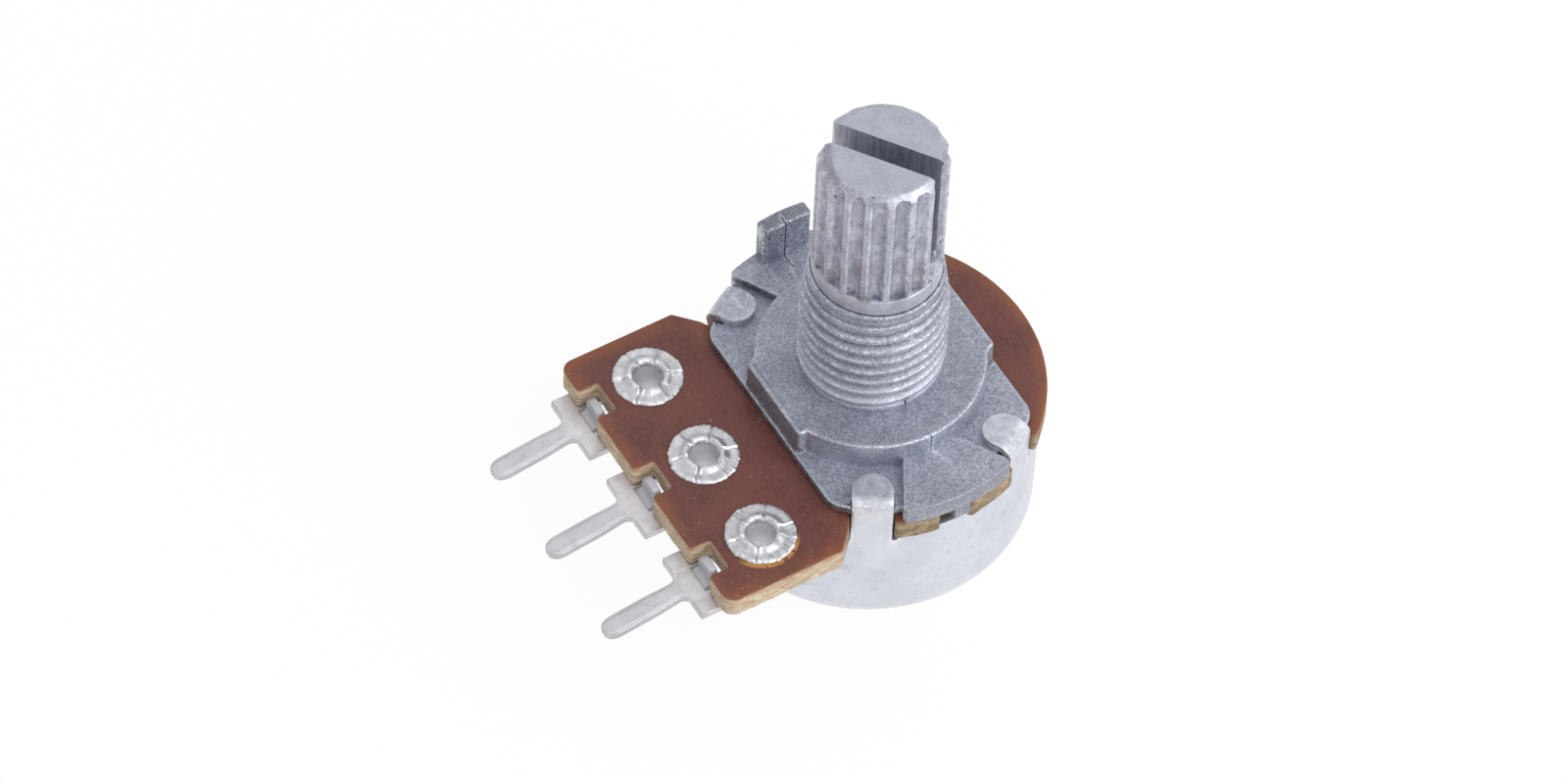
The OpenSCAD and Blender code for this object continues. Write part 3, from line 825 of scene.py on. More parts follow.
def cover_tin():
    """Tin of the cover, rubbed on its folded tabs, with painted shade on the tabs towards -X and painted
    glints along their bends.
    """
    s = Surface("cover_tin")
    tones = (0.67, 0.685, 0.75), (0.73, 0.745, 0.815)
    rough = satin_tin(s, *tones, (0.46, 0.36))
    x, _, z = s.axes()
    on_tab = s.fade(z, PLATE_TOP - 0.25, PLATE_TOP + 0.15)
    rub = s.noise(0.8, 5, 0.65, seed=43)
    # Dull rubbed patches on the tabs, and painted shade that grows towards -X
    dull = s.plus(s.fade(rub, 0.36, 0.64, 0.6, 0.0), s.fade(x, 2.0, -5.0, 0.0, 0.4))
    s.tint((0.39, 0.41, 0.50), on_tab, dull)
    bend = s.times(s.fade(z, PLATE_TOP - 0.5, PLATE_TOP + 0.1), s.fade(z, TAB_TOP - 0.01, TAB_TOP - 0.12))
    # Painted glints along the bend of each tab
    glint = s.times(bend, s.fade(s.noise(0.13, 3, 0.7, seed=47), 0.50, 0.62))
    s.tint((0.93, 0.935, 0.96), glint, 0.8)
    scuffed = s.fade(s.noise(0.24, 5, 0.75, seed=79), 0.48, 0.62, 0.0, 0.55)
    s.tint((0.80, 0.82, 0.89), on_tab, scuffed)
    stroke = s.fade(s.noise(0.3, 4, 0.7, (1, 1, 0.35), seed=59), 0.60, 0.70)
    place = s.fade(s.noise(1.8, 2, seed=61), 0.46, 0.62)
    s.tint((0.33, 0.33, 0.36), stroke, place, 0.5)
    s.bump(s.times(on_tab, rub), 0.05, 0.7)
    s.bump(glint, 0.02, 0.8)
    return s.finish(rough, METAL)


def lacquer_smear(s, x, y):
    """Lacquer pushed up at the side of the right rivet."""
    x = s.minus(x, PITCH + 0.12)
    y = s.plus(y, RIVET_ROW + 0.05)
    beside = s.fade(s.distance(x, y), RIVET_HEAD_R + 0.1, RIVET_HEAD_R - 0.02)
    return s.times(beside, s.fade(x, 0.5, 1.1), s.fade(s.noise(0.35, 3, seed=51), 0.36, 0.5))


def board_face():
    """Red-brown lacquer, warmer where it thins towards the rim."""
    s = Surface("board_face")
    x, y, _ = s.axes()
    on_tongue = s.fade(y, *TONGUE_START)
    side = s.times(s.fade(s.magnitude(x), *TONGUE_SIDE), on_tongue)
    round_rim = s.times(s.fade(s.distance(x, y), *ROUND_RIM), s.minus(1.0, on_tongue))
    rim = s.most(side, s.fade(y, *TONGUE_END), round_rim)
    cloud = s.noise(2.4, 4, 0.6)
    fibre = s.noise(0.15, 4, 0.65, (0.6, 1, 1), seed=6)
    s.ground(s.fade(cloud, 0.35, 0.65), (0.097, 0.028, 0.0235), (0.145, 0.0395, 0.030))
    s.tint((0.185, 0.066, 0.052), s.fade(fibre, 0.32, 0.68, 0.0, 0.55))
    s.tint((0.27, 0.088, 0.03), rim, s.fade(cloud, 0.3, 0.62, 0.35, 1.0), 0.7)
    speck = s.fade(s.noise(0.13, 1, seed=31), 0.765, 0.79)
    s.tint((0.78, 0.74, 0.72), speck, 0.8)
    s.tint((0.50, 0.23, 0.045), lacquer_smear(s, x, y))
    s.bump(fibre, 0.008, 0.6)
    return s.finish(s.fade(fibre, 0.3, 0.7, 0.36, 0.5))


def board_edge():
    """Tan, layered fibres of the board's cut edge, stained and darkened by the sectors' painted shadow along
    its round part.
    """
    s = Surface("board_edge")
    layers = s.noise(0.32, 4, 0.7, (0.45, 0.45, 2.2), seed=8)
    fibre = s.noise(0.12, 4, 0.7, seed=17)
    _, y, z = s.axes()
    s.ground(s.fade(layers, 0.36, 0.64), (0.42, 0.30, 0.185), (0.70, 0.575, 0.43))
    s.tint((0.20, 0.105, 0.06), s.fade(fibre, 0.30, 0.52, 0.55, 0.0))
    # Stain and the sectors' painted shadow along the round part's edge
    stain = s.fade(s.noise(0.5, 4, 0.6, seed=53), 0.35, 0.65, 1.0, 0.45)
    s.tint((0.20, 0.14, 0.075), s.fade(y, *EDGE_STAIN_SHADOW_Y), stain)
    lacquer = s.fade(z, BOARD_TOP - 0.16, BOARD_TOP - 0.02)
    s.tint((0.30, 0.105, 0.045), lacquer, 0.75)
    s.bump(layers, 0.05, 0.8)
    s.bump(fibre, 0.03, 0.8)
    return s.finish(0.8)


def plain_film(name, dark, light, rough, metallic):
    s = Surface(name)
    grain = s.noise(0.3, 4, 0.6)
    s.ground(s.fade(grain, 0.3, 0.7), dark, light)
    s.bump(grain, 0.006, 0.6)
    return s.finish(s.fade(grain, 0.3, 0.7, rough, rough + 0.15), metallic)


CAST_ZINC = cast_zinc()
SHAFT_ZINC = shaft_zinc()
COVER_TIN = cover_tin()
TERMINAL_TIN = terminal_tin()
RIVET_TIN = rivet_tin()
BOARD_FACE = board_face()
BOARD_EDGE = board_edge()
CARBON = plain_film("carbon_ink", (0.02, 0.02, 0.022), (0.045, 0.045, 0.047), 0.5, 0.0)
SILVER = plain_film("silver_ink", (0.60, 0.60, 0.58), (0.74, 0.74, 0.72), 0.4, 0.9)
BRONZE = plain_film("bronze_spring", (0.52, 0.34, 0.14), (0.66, 0.45, 0.20), 0.3, 0.95)
ROTOR_PLASTIC = plain_film("rotor_plastic", (0.022, 0.022, 0.024), (0.04, 0.04, 0.043), 0.4, 0.0)


# Bushing


def neck_shape():
    """Solid neck with a worn helical thread, tapered at the mouth and flattened along the parting plane."""
    threaded = np.arange(0, NECK_TOP - 0.1, THREAD_PITCH / THREAD_ROWS)
    rows = np.concatenate([[NECK_ROOT, -0.02], threaded, [NECK_TOP - MOUTH_EDGE, NECK_TOP]])
    sample_r = 3.5

    def radius_at(angles, row):
        z = rows[row]
        phase = (z / THREAD_PITCH - angles / (2 * math.pi)) % 1
        ridge = part_way(np.abs(2 * phase - 1), FLANK_START, FLANK_LENGTH)
        ridge = ridge * ridge * (3 - 2 * ridge)
        rough = ripple_round(angles, sample_r, z, 2.2, 5)
        fine = ripple_round(angles, sample_r, z, 6.5, 9)
        depth = THREAD_DEPTH * (1 - PARTING_FLAT * bell(np.sin(angles), PARTING_W))
        edge = NECK_R - (NECK_R - MOUTH_R) * part_way(z, NECK_TOP - LEAD_IN_H, LEAD_IN_H)
        radii = edge - depth * (1 - ridge) - CREST_WEAR * (1 + rough) * ridge + PITTING * fine
        radii = NECK_BASE_R + (radii - NECK_BASE_R) * part_way(z, THREAD_FOOT, THREAD_START_H)
        mouth = 0.03 * part_way(z, NECK_TOP - MOUTH_EDGE, MOUTH_EDGE)
        return np.maximum(radii, MOUTH_R - 0.02) - mouth

    return Shape().lathe(radius_at, rows, NECK_COLUMNS)


def plate_outline():
    """Disc cut by two straight edges, with round corners and a notch under each tab."""
    y = PLATE_HALF_W - PLATE_CORNER_R
    x = math.sqrt((PLATE_R - PLATE_CORNER_R) ** 2 - y**2)
    turn = math.atan2(y, x)
    half = TAB_W / 2 + TAB_SEAT_GAP
    spread = math.asin(half / PLATE_R)

    def notch(angle):
        out = np.array([math.cos(angle), math.sin(angle)])
        along = half * np.array([-math.sin(angle), math.cos(angle)])
        rim = PLATE_R * math.cos(spread) * out
        seat = TAB_SEAT_R * out
        return [rim - along, seat - along, seat + along, rim + along]

    def rim(start, end, steps):
        return arc((0, 0), PLATE_R, start, end, steps)[1:-1]

    right_half = np.concatenate(
        [
            rim(-turn, -TAB_ANGLE - spread, 4),
            notch(-TAB_ANGLE),
            rim(spread - TAB_ANGLE, TAB_ANGLE - spread, 20),
            notch(TAB_ANGLE),
            rim(TAB_ANGLE + spread, turn, 4),
            arc((x, y), PLATE_CORNER_R, turn, math.pi / 2, 8),
            arc((-x, y), PLATE_CORNER_R, math.pi / 2, math.pi - turn, 8),
        ]
    )
    return np.concatenate([right_half, -right_half])


def boss_outline():
    """Circle with a straight flat on both sides along Y."""
    start = math.acos(BOSS_HALF_FLAT / BOSS_R)
    right = arc((0, 0), BOSS_R, -start, start, 48)
    left = arc((0, 0), BOSS_R, math.pi - start, math.pi + start, 48)
    x, y = BOSS_HALF_FLAT - BOSS_SOFT, BOSS_HALF_SPAN - BOSS_SOFT
    near_corner = arc((x, y), BOSS_SOFT, 0, math.pi / 2, 5)
    far_corner = arc((-x, y), BOSS_SOFT, math.pi / 2, math.pi, 5)
    flat = np.concatenate([near_corner, far_corner])
    return np.concatenate([right[:-1], flat, left[1:-1], -flat])


def boss_shape():
    fillet = [(-0.12, -0.06), (-0.07, 0.03), (-0.03, 0.1), (-0.01, 0.2)]
    foot = [(inset, PLATE_TOP + up) for inset, up in fillet]
    return Shape().prism([boss_outline()], foot + rounded_edge(0, 0.11))


def sector_shape(side):
    """A raised sector from inside the boss out to the rim, on the +X or -X side."""
    slope = math.tan(TAB_ANGLE)
    a = 1 + slope**2
    b = -2 * SECTOR_APEX * slope**2
    c = (SECTOR_APEX * slope) ** 2 - SECTOR_R**2
    x = (-b + math.sqrt(b * b - 4 * a * c)) / (2 * a)
    end = math.atan2((x - SECTOR_APEX) * slope, x) - 0.02
    upper = [[reach, (reach - SECTOR_APEX) * slope] for reach in (x - 0.16, SECTOR_ROOT)]
    lower = [[reach, -up] for reach, up in upper[::-1]]
    points = np.concatenate([lower, arc((0, 0), SECTOR_R, -end, end, 40), upper])
    return Shape().prism([points * side], rounded_profile(BOARD_TOP + 0.015, SECTOR_TOP, 0.08))


def lug_shape(side, step):
    """Half of the anti-turn lug, on one side of the parting line and a small step out of line."""
    half = LUG_W / 2
    inner = LUG_FACE + step
    rim_r = SECTOR_R - 0.03
    corner = LUG_CORNER
    end = math.pi - math.asin((half - corner) / rim_r)
    split = math.pi - math.asin(LUG_SPLIT / rim_r)
    if side > 0:
        face = [[inner, LUG_SPLIT], [inner, half - corner], [inner - corner, half], [corner - rim_r, half]]
        points = np.concatenate([face, arc((0, 0), rim_r, end, split, 8)])
    else:
        face = [[corner - rim_r, -half], [inner - corner, -half], [inner, corner - half], [inner, LUG_SPLIT]]
        points = np.concatenate([face, arc((0, 0), rim_r, split, 2 * math.pi - end, 8)])
    return Shape().prism([points], rounded_profile(PLATE_TOP, LUG_TOP, 0.1, 0.08))


def key_shape(side):
    half = KEY_W / 2
    end = math.asin(half / SECTOR_R)
    rim = arc((0, 0), SECTOR_R - 0.02, -end, end, 6)
    points = np.concatenate([[[TAB_SEAT_R, half], [TAB_SEAT_R, -half]], rim])
    return Shape().prism([points * side], [(0.05, KEY_FOOT), (0, KEY_FOOT + 0.05), (0, BOARD_TOP + 0.2)])


def bushing_bore():
    radii = (RECESS_R, RECESS_R, BORE_R, BORE_R)
    levels = (BOARD_TOP - 1, RECESS_TOP, RECESS_TOP, NECK_TOP + 1)
    return Shape().lathe(lambda angles, row: np.full(len(angles), radii[row]), levels, BORE_COLUMNS)


def block(low, high):
    """Box between two corners."""
    points = np.array([[low[0], low[1]], [high[0], low[1]], [high[0], high[1]], [low[0], high[1]]])
    return Shape().prism([points], [(0, low[2]), (0, high[2])])


def parting_marks():
    """Crack down the lug and along its sector, a nick at the foot of the thread and a line on the boss."""
    left, right = LUG_SPLIT - 0.05, LUG_SPLIT + 0.05
    foot = SECTOR_TOP - 0.05
    return [
        block((LUG_FACE - 0.12, left, foot), (LUG_FACE + 0.1, right, LUG_TOP + 0.1)),
        block((LUG_FACE - 0.06, left, foot), (LUG_FACE + 0.75, right, SECTOR_TOP + 0.1)),
        block((NECK_BASE_R - 0.12, -0.24, 0.02), (NECK_R + 0.1, -0.14, 0.75)),
        block((BOSS_R - 0.09, -0.02, PLATE_TOP + 0.45), (BOSS_R + 0.1, 0.03, 0.1)),
    ]


def bushing_piece():
    profile = rounded_profile(BOARD_TOP, PLATE_TOP, 0.07, foot=0.08)
    slab = Shape().prism([densify(plate_outline(), PLATE_STEP)], profile)
    piece = slab.object("bushing_casting", [CAST_ZINC])
    parts = [boss_shape(), neck_shape(), sector_shape(1), sector_shape(-1)]
    parts += [lug_shape(1, 0.0), lug_shape(-1, LUG_STEP), key_shape(1), key_shape(-1)]
    for part in parts:
        combine(piece, part.object("part", [CAST_ZINC]), "UNION")
    for cut in [bushing_bore()] + parting_marks():
        combine(piece, cut.object("cut", [CAST_ZINC]), "DIFFERENCE")
    return settle(piece, "housing", "bushing")


# Shaft


def plain_rows():
    """Levels and radii of the shaft below its flutes. A radius of None is the tail with its two flats."""
    return [
        (SHAFT_FOOT, TAIL_HEAD_R - 0.15),
        (SHAFT_FOOT + 0.15, TAIL_HEAD_R),
        (ROTOR_BOTTOM, TAIL_HEAD_R),
        (ROTOR_BOTTOM, None),
        (ROTOR_TOP, None),
        (ROTOR_TOP, TAIL_R),
        (FLANGE_BOTTOM, TAIL_R),
        (FLANGE_BOTTOM, FLANGE_R),
        (FLANGE_TOP, FLANGE_R),
        (FLANGE_TOP, SHAFT_R),
        (NECK_TOP, SHAFT_R),
        (FLUTE_BASE - 0.08, SHAFT_R),
        (FLUTE_BASE - 0.03, SHAFT_R - 0.02),
        (FLUTE_BASE, SHAFT_R - 0.07),
    ]


def plain_radius(angles, size):
    if size is not None:
        return np.full(len(angles), size)
    sine = np.maximum(np.abs(np.sin(angles - REST_TURN)), 1e-6)
    return np.minimum(TAIL_R, TAIL_HALF_FLAT / sine)


def flute_radius(angles, share):
    """Radii over the round-bottomed flutes, at a share of their depth, with rounded ridges between them."""
    step = 2 * math.pi / FLUTES
    off = (angles - REST_TURN) % step - step / 2
    across = FLUTE_CENTRE * np.sin(off)
    under = np.maximum(FLUTE_R**2 - across**2, 0)
    floor = FLUTE_CENTRE * np.cos(off) - np.sqrt(under)
    radii = np.where(np.abs(across) < FLUTE_R, floor, SHAFT_R)
    radii = SHAFT_R - (SHAFT_R - radii) * share
    outside = math.exp(-RIDGE_SHARPNESS * (SHAFT_R + RIDGE_OUT))
    return -np.log(np.exp(-RIDGE_SHARPNESS * radii) + outside) / RIDGE_SHARPNESS


def corner_wear(angles):
    off = (angles - REST_TURN - WORN_CORNER + math.pi) % (2 * math.pi) - math.pi
    return bell(off, WORN_SPREAD)


def fluted_radius(angles, z):
    """Radii at a level of the fluted part, rounded where the slot breaks out and at the worn shoulder."""
    depth = math.sqrt(part_way(SHAFT_TIP - FLUTE_END - z, 0, FLUTE_RUN_OUT))
    radii = flute_radius(angles, depth)
    from_slot = np.abs(SHAFT_R * np.sin(angles - REST_TURN)) - SLOT_W / 2
    radii = radii - SLOT_ROUND * np.clip(1 - from_slot / SLOT_ROUND_W, 0, 1) ** 2
    radii = radii + BRUISE * ripple_round(angles, SHAFT_R, z * 0.4, 2.4, 3)
    worn = corner_wear(angles)
    height = TIP_CHAMFER + SHOULDER_H + WORN_H * worn
    rise = part_way(z, SHAFT_TIP - height, height)
    fall = (TIP_CHAMFER + 0.02 + WORN_IN * worn) * rise**SHOULDER_CURVE
    return np.minimum(radii, SHAFT_R + 0.02 - fall)


def shaft_shape():
    """Turned shaft with flutes that run out in the tip's chamfer."""
    plain = plain_rows()
    chamfer_base = SHAFT_TIP - TIP_CHAMFER
    fluted = np.concatenate(
        [
            [FLUTE_BASE, FLUTE_BASE + 0.06, FLUTE_BASE + 0.2],
            np.linspace(FLUTE_BASE + 0.6, chamfer_base - 0.4, 12),
            np.linspace(chamfer_base - 0.3, SHAFT_TIP - 0.03, 20),
        ]
    )
    end_insets = (0.02, 0.14, 0.4)
    levels = [level for level, _ in plain] + list(fluted) + [SHAFT_TIP] * len(end_insets)

    def radius_at(angles, row):
        if row < len(plain):
            return plain_radius(angles, plain[row][1])
        row -= len(plain)
        if row < len(fluted):
            return fluted_radius(angles, fluted[row])
        return SHAFT_R - TIP_CHAMFER - WORN_IN * corner_wear(angles) - end_insets[row - len(fluted)]

    return Shape().lathe(radius_at, levels, FLUTES * FLUTE_COLUMNS)


def bevel_slot(piece):
    """Rounds the edges where the slot's walls meet the outside."""
    bm = bmesh.new()
    bm.from_mesh(piece.data)
    bm.normal_update()
    across = Vector((-math.sin(REST_TURN), math.cos(REST_TURN), 0))
    floor = SHAFT_TIP - SLOT_DEPTH + 0.01

    def is_wall(face):
        return abs(face.normal.dot(across)) > 0.999 and face.calc_center_median().z > floor

    edges = [e for e in bm.edges if len(e.link_faces) == 2 and sum(map(is_wall, e.link_faces)) == 1]
    edges = [e for e in edges if min(v.co.z for v in e.verts) > floor]
    shape = {"segments": 2, "profile": 0.5, "affect": "EDGES", "clamp_overlap": True}
    bmesh.ops.bevel(bm, geom=edges, offset=SLOT_BEVEL, **shape)
    bm.to_mesh(piece.data)
    bm.free()


def shaft_piece():
    piece = shaft_shape().object("shaft_turned", [SHAFT_ZINC])
    length, half = 2 * SHAFT_R, SLOT_W / 2
    slot = block((-length, -half, SHAFT_TIP - SLOT_DEPTH), (length, half, SHAFT_TIP + 1))
    slot = slot.object("slot", [SHAFT_ZINC])
    slot.data.transform(Matrix.Rotation(REST_TURN, 4, "Z"))
    combine(piece, slot, "DIFFERENCE")
    bevel_slot(piece)
    return settle(piece, "spindle", "shaft")


# Board


def torn(x, y, level):
    """How far the board's edge is torn in at a point, none of it at the upper face."""
    depth = (BOARD_TOP - level) / (BOARD_TOP - BOARD_BOTTOM)
    if depth < 0.04:
        return 0.0
    coarse = ripple(x, y, level * 2.5, 1.1, 4)
    fine = ripple(x, y, level * 3.0, 4.5, 12)
    return TORN * (coarse + 0.8 * fine) * min(1.0, 3 * depth) - 0.01


def board_piece():
    """Laminate with lacquered faces and torn, fibrous edges."""
    loops = [densify(round_corners(p, BOARD_CORNER_R), BOARD_STEP) for p in cap_loops("board", BOARD_TOP)]
    levels = np.linspace(BOARD_BOTTOM + 0.06, BOARD_TOP - 0.1, 8)
    profile = [(0.05, BOARD_BOTTOM)] + [(0.0, z) for z in levels]
    profile += [(0.004, BOARD_TOP - 0.05), (0.022, BOARD_TOP - 0.016), (0.06, BOARD_TOP), (0.16, BOARD_TOP)]
    shape = Shape().prism(loops, profile, side_slot=1, ragged=torn)
    piece = shape.object("board_laminate", [BOARD_FACE, BOARD_EDGE])
    for polygon in piece.data.polygons:
        if abs(polygon.normal.z) > 0.8:
            polygon.material_index = 0
    return settle(piece, "housing", "board")


# Rivets


def rivet_profile():
    """Rows round the rivet's section: radius, level, share of the splits, share of the ragged rim."""
    foot = [
        (RIVET_HOLE_R, 0, 0, 0),
        (RIVET_FOOT_R - 0.06, 0, 0, 0),
        (RIVET_FOOT_R, 0.06, 0, 0),
        (RIVET_FOOT_R, 0.22, 0, 0),
        (RIVET_WALL_R, 0.22, 0, 0),
    ]
    head = [
        (RIVET_WALL_R, 0, 0, 0),
        (RIVET_HEAD_R - 0.06, 0, 0, 1),
        (RIVET_HEAD_R, 0.03, 0.1, 1),
        (RIVET_HEAD_R - 0.02, 0.08, 0.4, 1),
        (1.62, 0.12, 0.8, 0.8),
        (1.5, 0.135, 1, 0.4),
        (1.38, 0.13, 1, 0),
        (1.28, 0.115, 1, 0),
        (1.18, 0.12, 1, 0),
        (1.09, 0.17, 1, 0),
        (1.01, 0.235, 1, 0),
        (0.93, 0.28, 1, 0),
        (0.85, 0.285, 0.95, 0),
        (0.78, 0.25, 0.85, 0),
        (0.72, 0.18, 0.7, 0),
        (0.68, 0.08, 0.4, 0),
        (0.65, -0.05, 0.1, 0),
        (0.63, -0.3, 0, 0),
    ]
    rows = [(RIVET_FOOT, row) for row in foot] + [(BOARD_TOP, row) for row in head]
    return [(radius, level + up, split, edge) for level, (radius, up, split, edge) in rows]


def rivet_shape(place):
    """Hollow rivet whose burst end is spread into ragged petals."""
    angles = np.linspace(0, 2 * math.pi, RIVET_COLUMNS, endpoint=False)
    seed = 10 + 7 * place
    step = 2 * math.pi / PETALS
    first = 0.25 * step + 0.1 * place
    off = (angles - first + step / 2) % step - step / 2
    petal = np.floor((angles - first) / step).astype(int) % PETALS
    lift = np.array([noise.noise(Vector((seed, 3.7 * p, 0.5))) for p in range(PETALS)])[petal]
    tilt = np.array([noise.noise(Vector((seed, 5.3 * p, 2.5))) for p in range(PETALS)])[petal]
    lobe = np.sin(math.pi * (((angles - first) / step) % 1))
    ragged = ripple_round(angles, 1, seed, 5.5, seed)
    crumbs = ripple_round(angles, 1, seed, 13, seed + 3)
    shape = Shape()
    stack = []
    for radius, level, split, edge in rivet_profile():
        groove = bell(off * radius, SPLIT_W) * split
        curl = bell(np.abs(off) * radius - CURL_OFF, CURL_W) * split
        lip = bell(radius - LIP_R, LIP_W)
        radii = radius + edge * (RAGGED_RIM * ragged + RAGGED_RIM * crumbs - 0.03 - 0.08 * groove)
        radii = radii - LIP_IN * lip * (lobe - 0.5)
        heights = level - SPLIT_DEPTH * groove + CURL_H * curl * (1 + tilt) + LIP_H * lip * (lobe - 0.75)
        heights += split * (0.03 * lift + 0.09 * tilt * (off * radius) + 0.012 * ragged)
        heights += 0.03 * edge * split * np.maximum(crumbs, 0)
        stack.append(shape.ring(turned(angles, radii, heights) + (place * PITCH, -RIVET_ROW, 0)))
    shape.strips(stack + stack[:1])
    return shape


def rivet_piece(name, place):
    piece = rivet_shape(place).object("rivet_spread_" + name, [RIVET_TIN])
    return settle(piece, "housing", "rivet_" + name, RIVET_SHARP_TURN)


# Terminals


def terminal_plate_shape(x):
    """Flat plate with a round end, a hole for its rivet and the window that the tooth was cut from."""
    half, corner, end = TERMINAL_HALF_W, TERMINAL_CORNER, -TERMINAL_REACH
    eye = arc((x, -RIVET_ROW), TERMINAL_EYE_R, 0, math.pi, 24)
    body = [
        [x - half, -RIVET_ROW],
        [x - half, end + corner],
        [x - half + corner, end],
        [x + half - corner, end],
        [x + half, end + corner],
        [x + half, -RIVET_ROW],
    ]
    outer = densify(np.concatenate([eye, body]), 0.5)
    hole = arc((x, -RIVET_ROW), RIVET_WALL_R + 0.04, 0, 2 * math.pi, 32)[:-1][::-1]
    left, right = x - WINDOW_HALF_W, x + WINDOW_HALF_W
    low, high = WINDOW_Y
    window = np.array([[left, low], [left, high], [right, high], [right, low]])
    profile = rounded_profile(TERMINAL_TOP - SHEET, TERMINAL_TOP, 0.05, 0.06, 3)
    return Shape().prism([outer, hole, window], profile)


def tooth_stations():
    """Places up the middle of the tooth: y, z, how far it is bent there, and half its width."""
    half = TOOTH_W / 2
    bend_y = WINDOW_Y[0]
    bend_z = TERMINAL_TOP + TOOTH_BEND_R
    bend_r = TOOTH_BEND_R + SHEET / 2
    stations = [(bend_y - 0.2, TERMINAL_TOP - SHEET / 2, 0.0, half)]
    for turn in np.linspace(0, math.pi / 2, 9):
        stations.append((bend_y + bend_r * math.sin(turn), bend_z - bend_r * math.cos(turn), turn, half))
    for turn in np.linspace(0, math.radians(80), 7):
        level = TOOTH_TOP - TOOTH_TIP_R * (1 - math.sin(turn))
        stations.append((bend_y + bend_r, level, math.pi / 2, half - TOOTH_TIP_R * (1 - math.cos(turn))))
    return stations


def tooth_shape(x):
    """Tooth bent up out of the plate's window, with a rounded top."""
    thick = SHEET / 2 - 0.012
    bevel = TOOTH_BEVEL
    rings = []
    for y, z, turn, width in tooth_stations():
        corners = [(width - bevel, thick), (width, thick - bevel)]
        corners += [(across, -depth) for across, depth in corners[::-1]]
        corners += [(-across, depth) for across, depth in corners[::-1]]
        rings.append([(x + a, y - d * math.sin(turn), z + d * math.cos(turn)) for a, d in corners])
    return Shape().tube(rings)


def pin_half_width(along):
    """Half the pin's width, with a fillet at its root and a slight waist after it."""
    along = max(along, 0.0)
    off = max(0.0, PIN_ROOT_R - along)
    fillet = PIN_ROOT_R - math.sqrt(PIN_ROOT_R**2 - off**2)
    return PIN_W / 2 + fillet - PIN_WAIST * max(0.0, 1 - along / PIN_WAIST_L)


def pin_stations():
    """Places along the pin, from inside the plate to the rounded tip, and half its width there."""
    tip_start = PIN_LENGTH - PIN_TIP
    straight = np.concatenate([[-PIN_ROOT], np.linspace(0, PIN_ROOT_R, 7), np.linspace(0.6, tip_start, 20)])
    stations = [(along, pin_half_width(along)) for along in straight]
    for share in (0.15, 0.3, 0.45, 0.6, 0.72, 0.82, 0.9, 0.96, 1.0):
        width = pin_half_width(PIN_LENGTH) * math.sqrt(1 - 0.9 * share**2.6)
        stations.append((tip_start + PIN_TIP * share, width))
    return stations


def pin_section(x, along, width):
    """Section of the pin as (across, up): a broad low rib above and a hollow below, with rounded sides."""
    side = np.array([0.2, 0.4, 0.55, 0.65, 0.72, 0.78, 0.83, 0.87, 0.9, 0.93, 0.97, 1])
    rise = math.sqrt(part_way(along, 0.1, 0.4) * part_way(PIN_LENGTH - along, 0.02, 0.3))
    above, below = [], []
    for share in np.concatenate([-side[::-1], [0], side]):
        across = share * width
        rounding = max(0.0, (abs(share) - 0.9) / 0.1) ** 2
        bulge = max(0.0, 1 - abs(share / RIB_W_SHARE) ** 8) * rise
        hollow = max(0.0, 1 - (across / (PIN_W / 2 * RIB_HOLLOW_SHARE)) ** 2) * rise
        wave = PIN_WAVE * ripple(x + across, along, 0, 1.6, 2)
        above.append((across, RIB_H * bulge - 0.05 * rounding + wave))
        below.append((across, RIB_HOLLOW * hollow + 0.04 * rounding - SHEET))
    return above + below[::-1]


def pin_shape(x):
    """Flat pin with a rib and a rounded tip, sloping down from the plate."""
    cos, sin = math.cos(PIN_SLOPE), math.sin(PIN_SLOPE)
    rings = []
    for along, width in pin_stations():
        y = -TERMINAL_REACH - along * cos
        z = TERMINAL_TOP - 0.004 - max(along, 0.0) * sin
        section = pin_section(x, along, width)
        rings.append([(x + across, y - up * sin, z + up * cos) for across, up in section])
    return Shape().tube(rings)


def terminal_piece(name, place):
    x = place * PITCH
    piece = terminal_plate_shape(x).object("terminal_stamped_" + name, [TERMINAL_TIN])
    for shape in (tooth_shape(x), pin_shape(x)):
        combine(piece, shape.object("part", [TERMINAL_TIN]), "UNION")
    return settle(piece, "housing", "terminal_" + name)


# Cover


def bend_rows(centre, radius, start, end):
    """Rows round a bend of the sheet's outer face."""
    rows = []
    for angle in np.linspace(start, end, 9):
        out, up = math.cos(angle), math.sin(angle)
        flat = max(0.0, angle / (math.pi / 2)) ** 0.8
        rows.append((centre[0] + radius * out, centre[1] + radius * up, out, up, flat))
    return rows


def cover_rows():
    """Rows of the sheet's outer face from the middle of the back to the tab tips, and which is the rim.

    A row is its radius, its level, the two parts of its normal, and how far a tab is flattened there.
    """
    edge = (COVER_R - COVER_EDGE_R, COVER_BACK + COVER_EDGE_R)
    fold = (COVER_R - FOLD_R, TAB_TOP - FOLD_R)
    wall = list(np.linspace(edge[1], GAP_FOOT, 9)[1:]) + [SLIT_FOOT, BOARD_BOTTOM - 0.2, BOARD_BOTTOM]
    rows = [(r, COVER_BACK, 0.0, -1.0, 0.0) for r in (0.0, 2.0, 4.0, 5.6, 6.6)]
    rows += bend_rows(edge, COVER_EDGE_R, -math.pi / 2, 0)
    rows += [(COVER_R, z, 1.0, 0.0, 0.0) for z in wall]
    rim = len(rows) - 1
    rows += [(COVER_R, z, 1.0, 0.0, 0.0) for z in np.linspace(BOARD_BOTTOM, fold[1], 6)[1:-1]]
    rows += bend_rows(fold, FOLD_R, 0, math.pi / 2)
    reaches = [(fold[0] + TAB_TIP_CENTRE) / 2]
    reaches += [TAB_TIP_CENTRE - TAB_W / 2 * math.sin(turn) for turn in np.linspace(0, math.radians(85), 9)]
    rows += [(r, TAB_TOP, 0.0, 1.0, 1.0) for r in reaches]
    return rows, rim


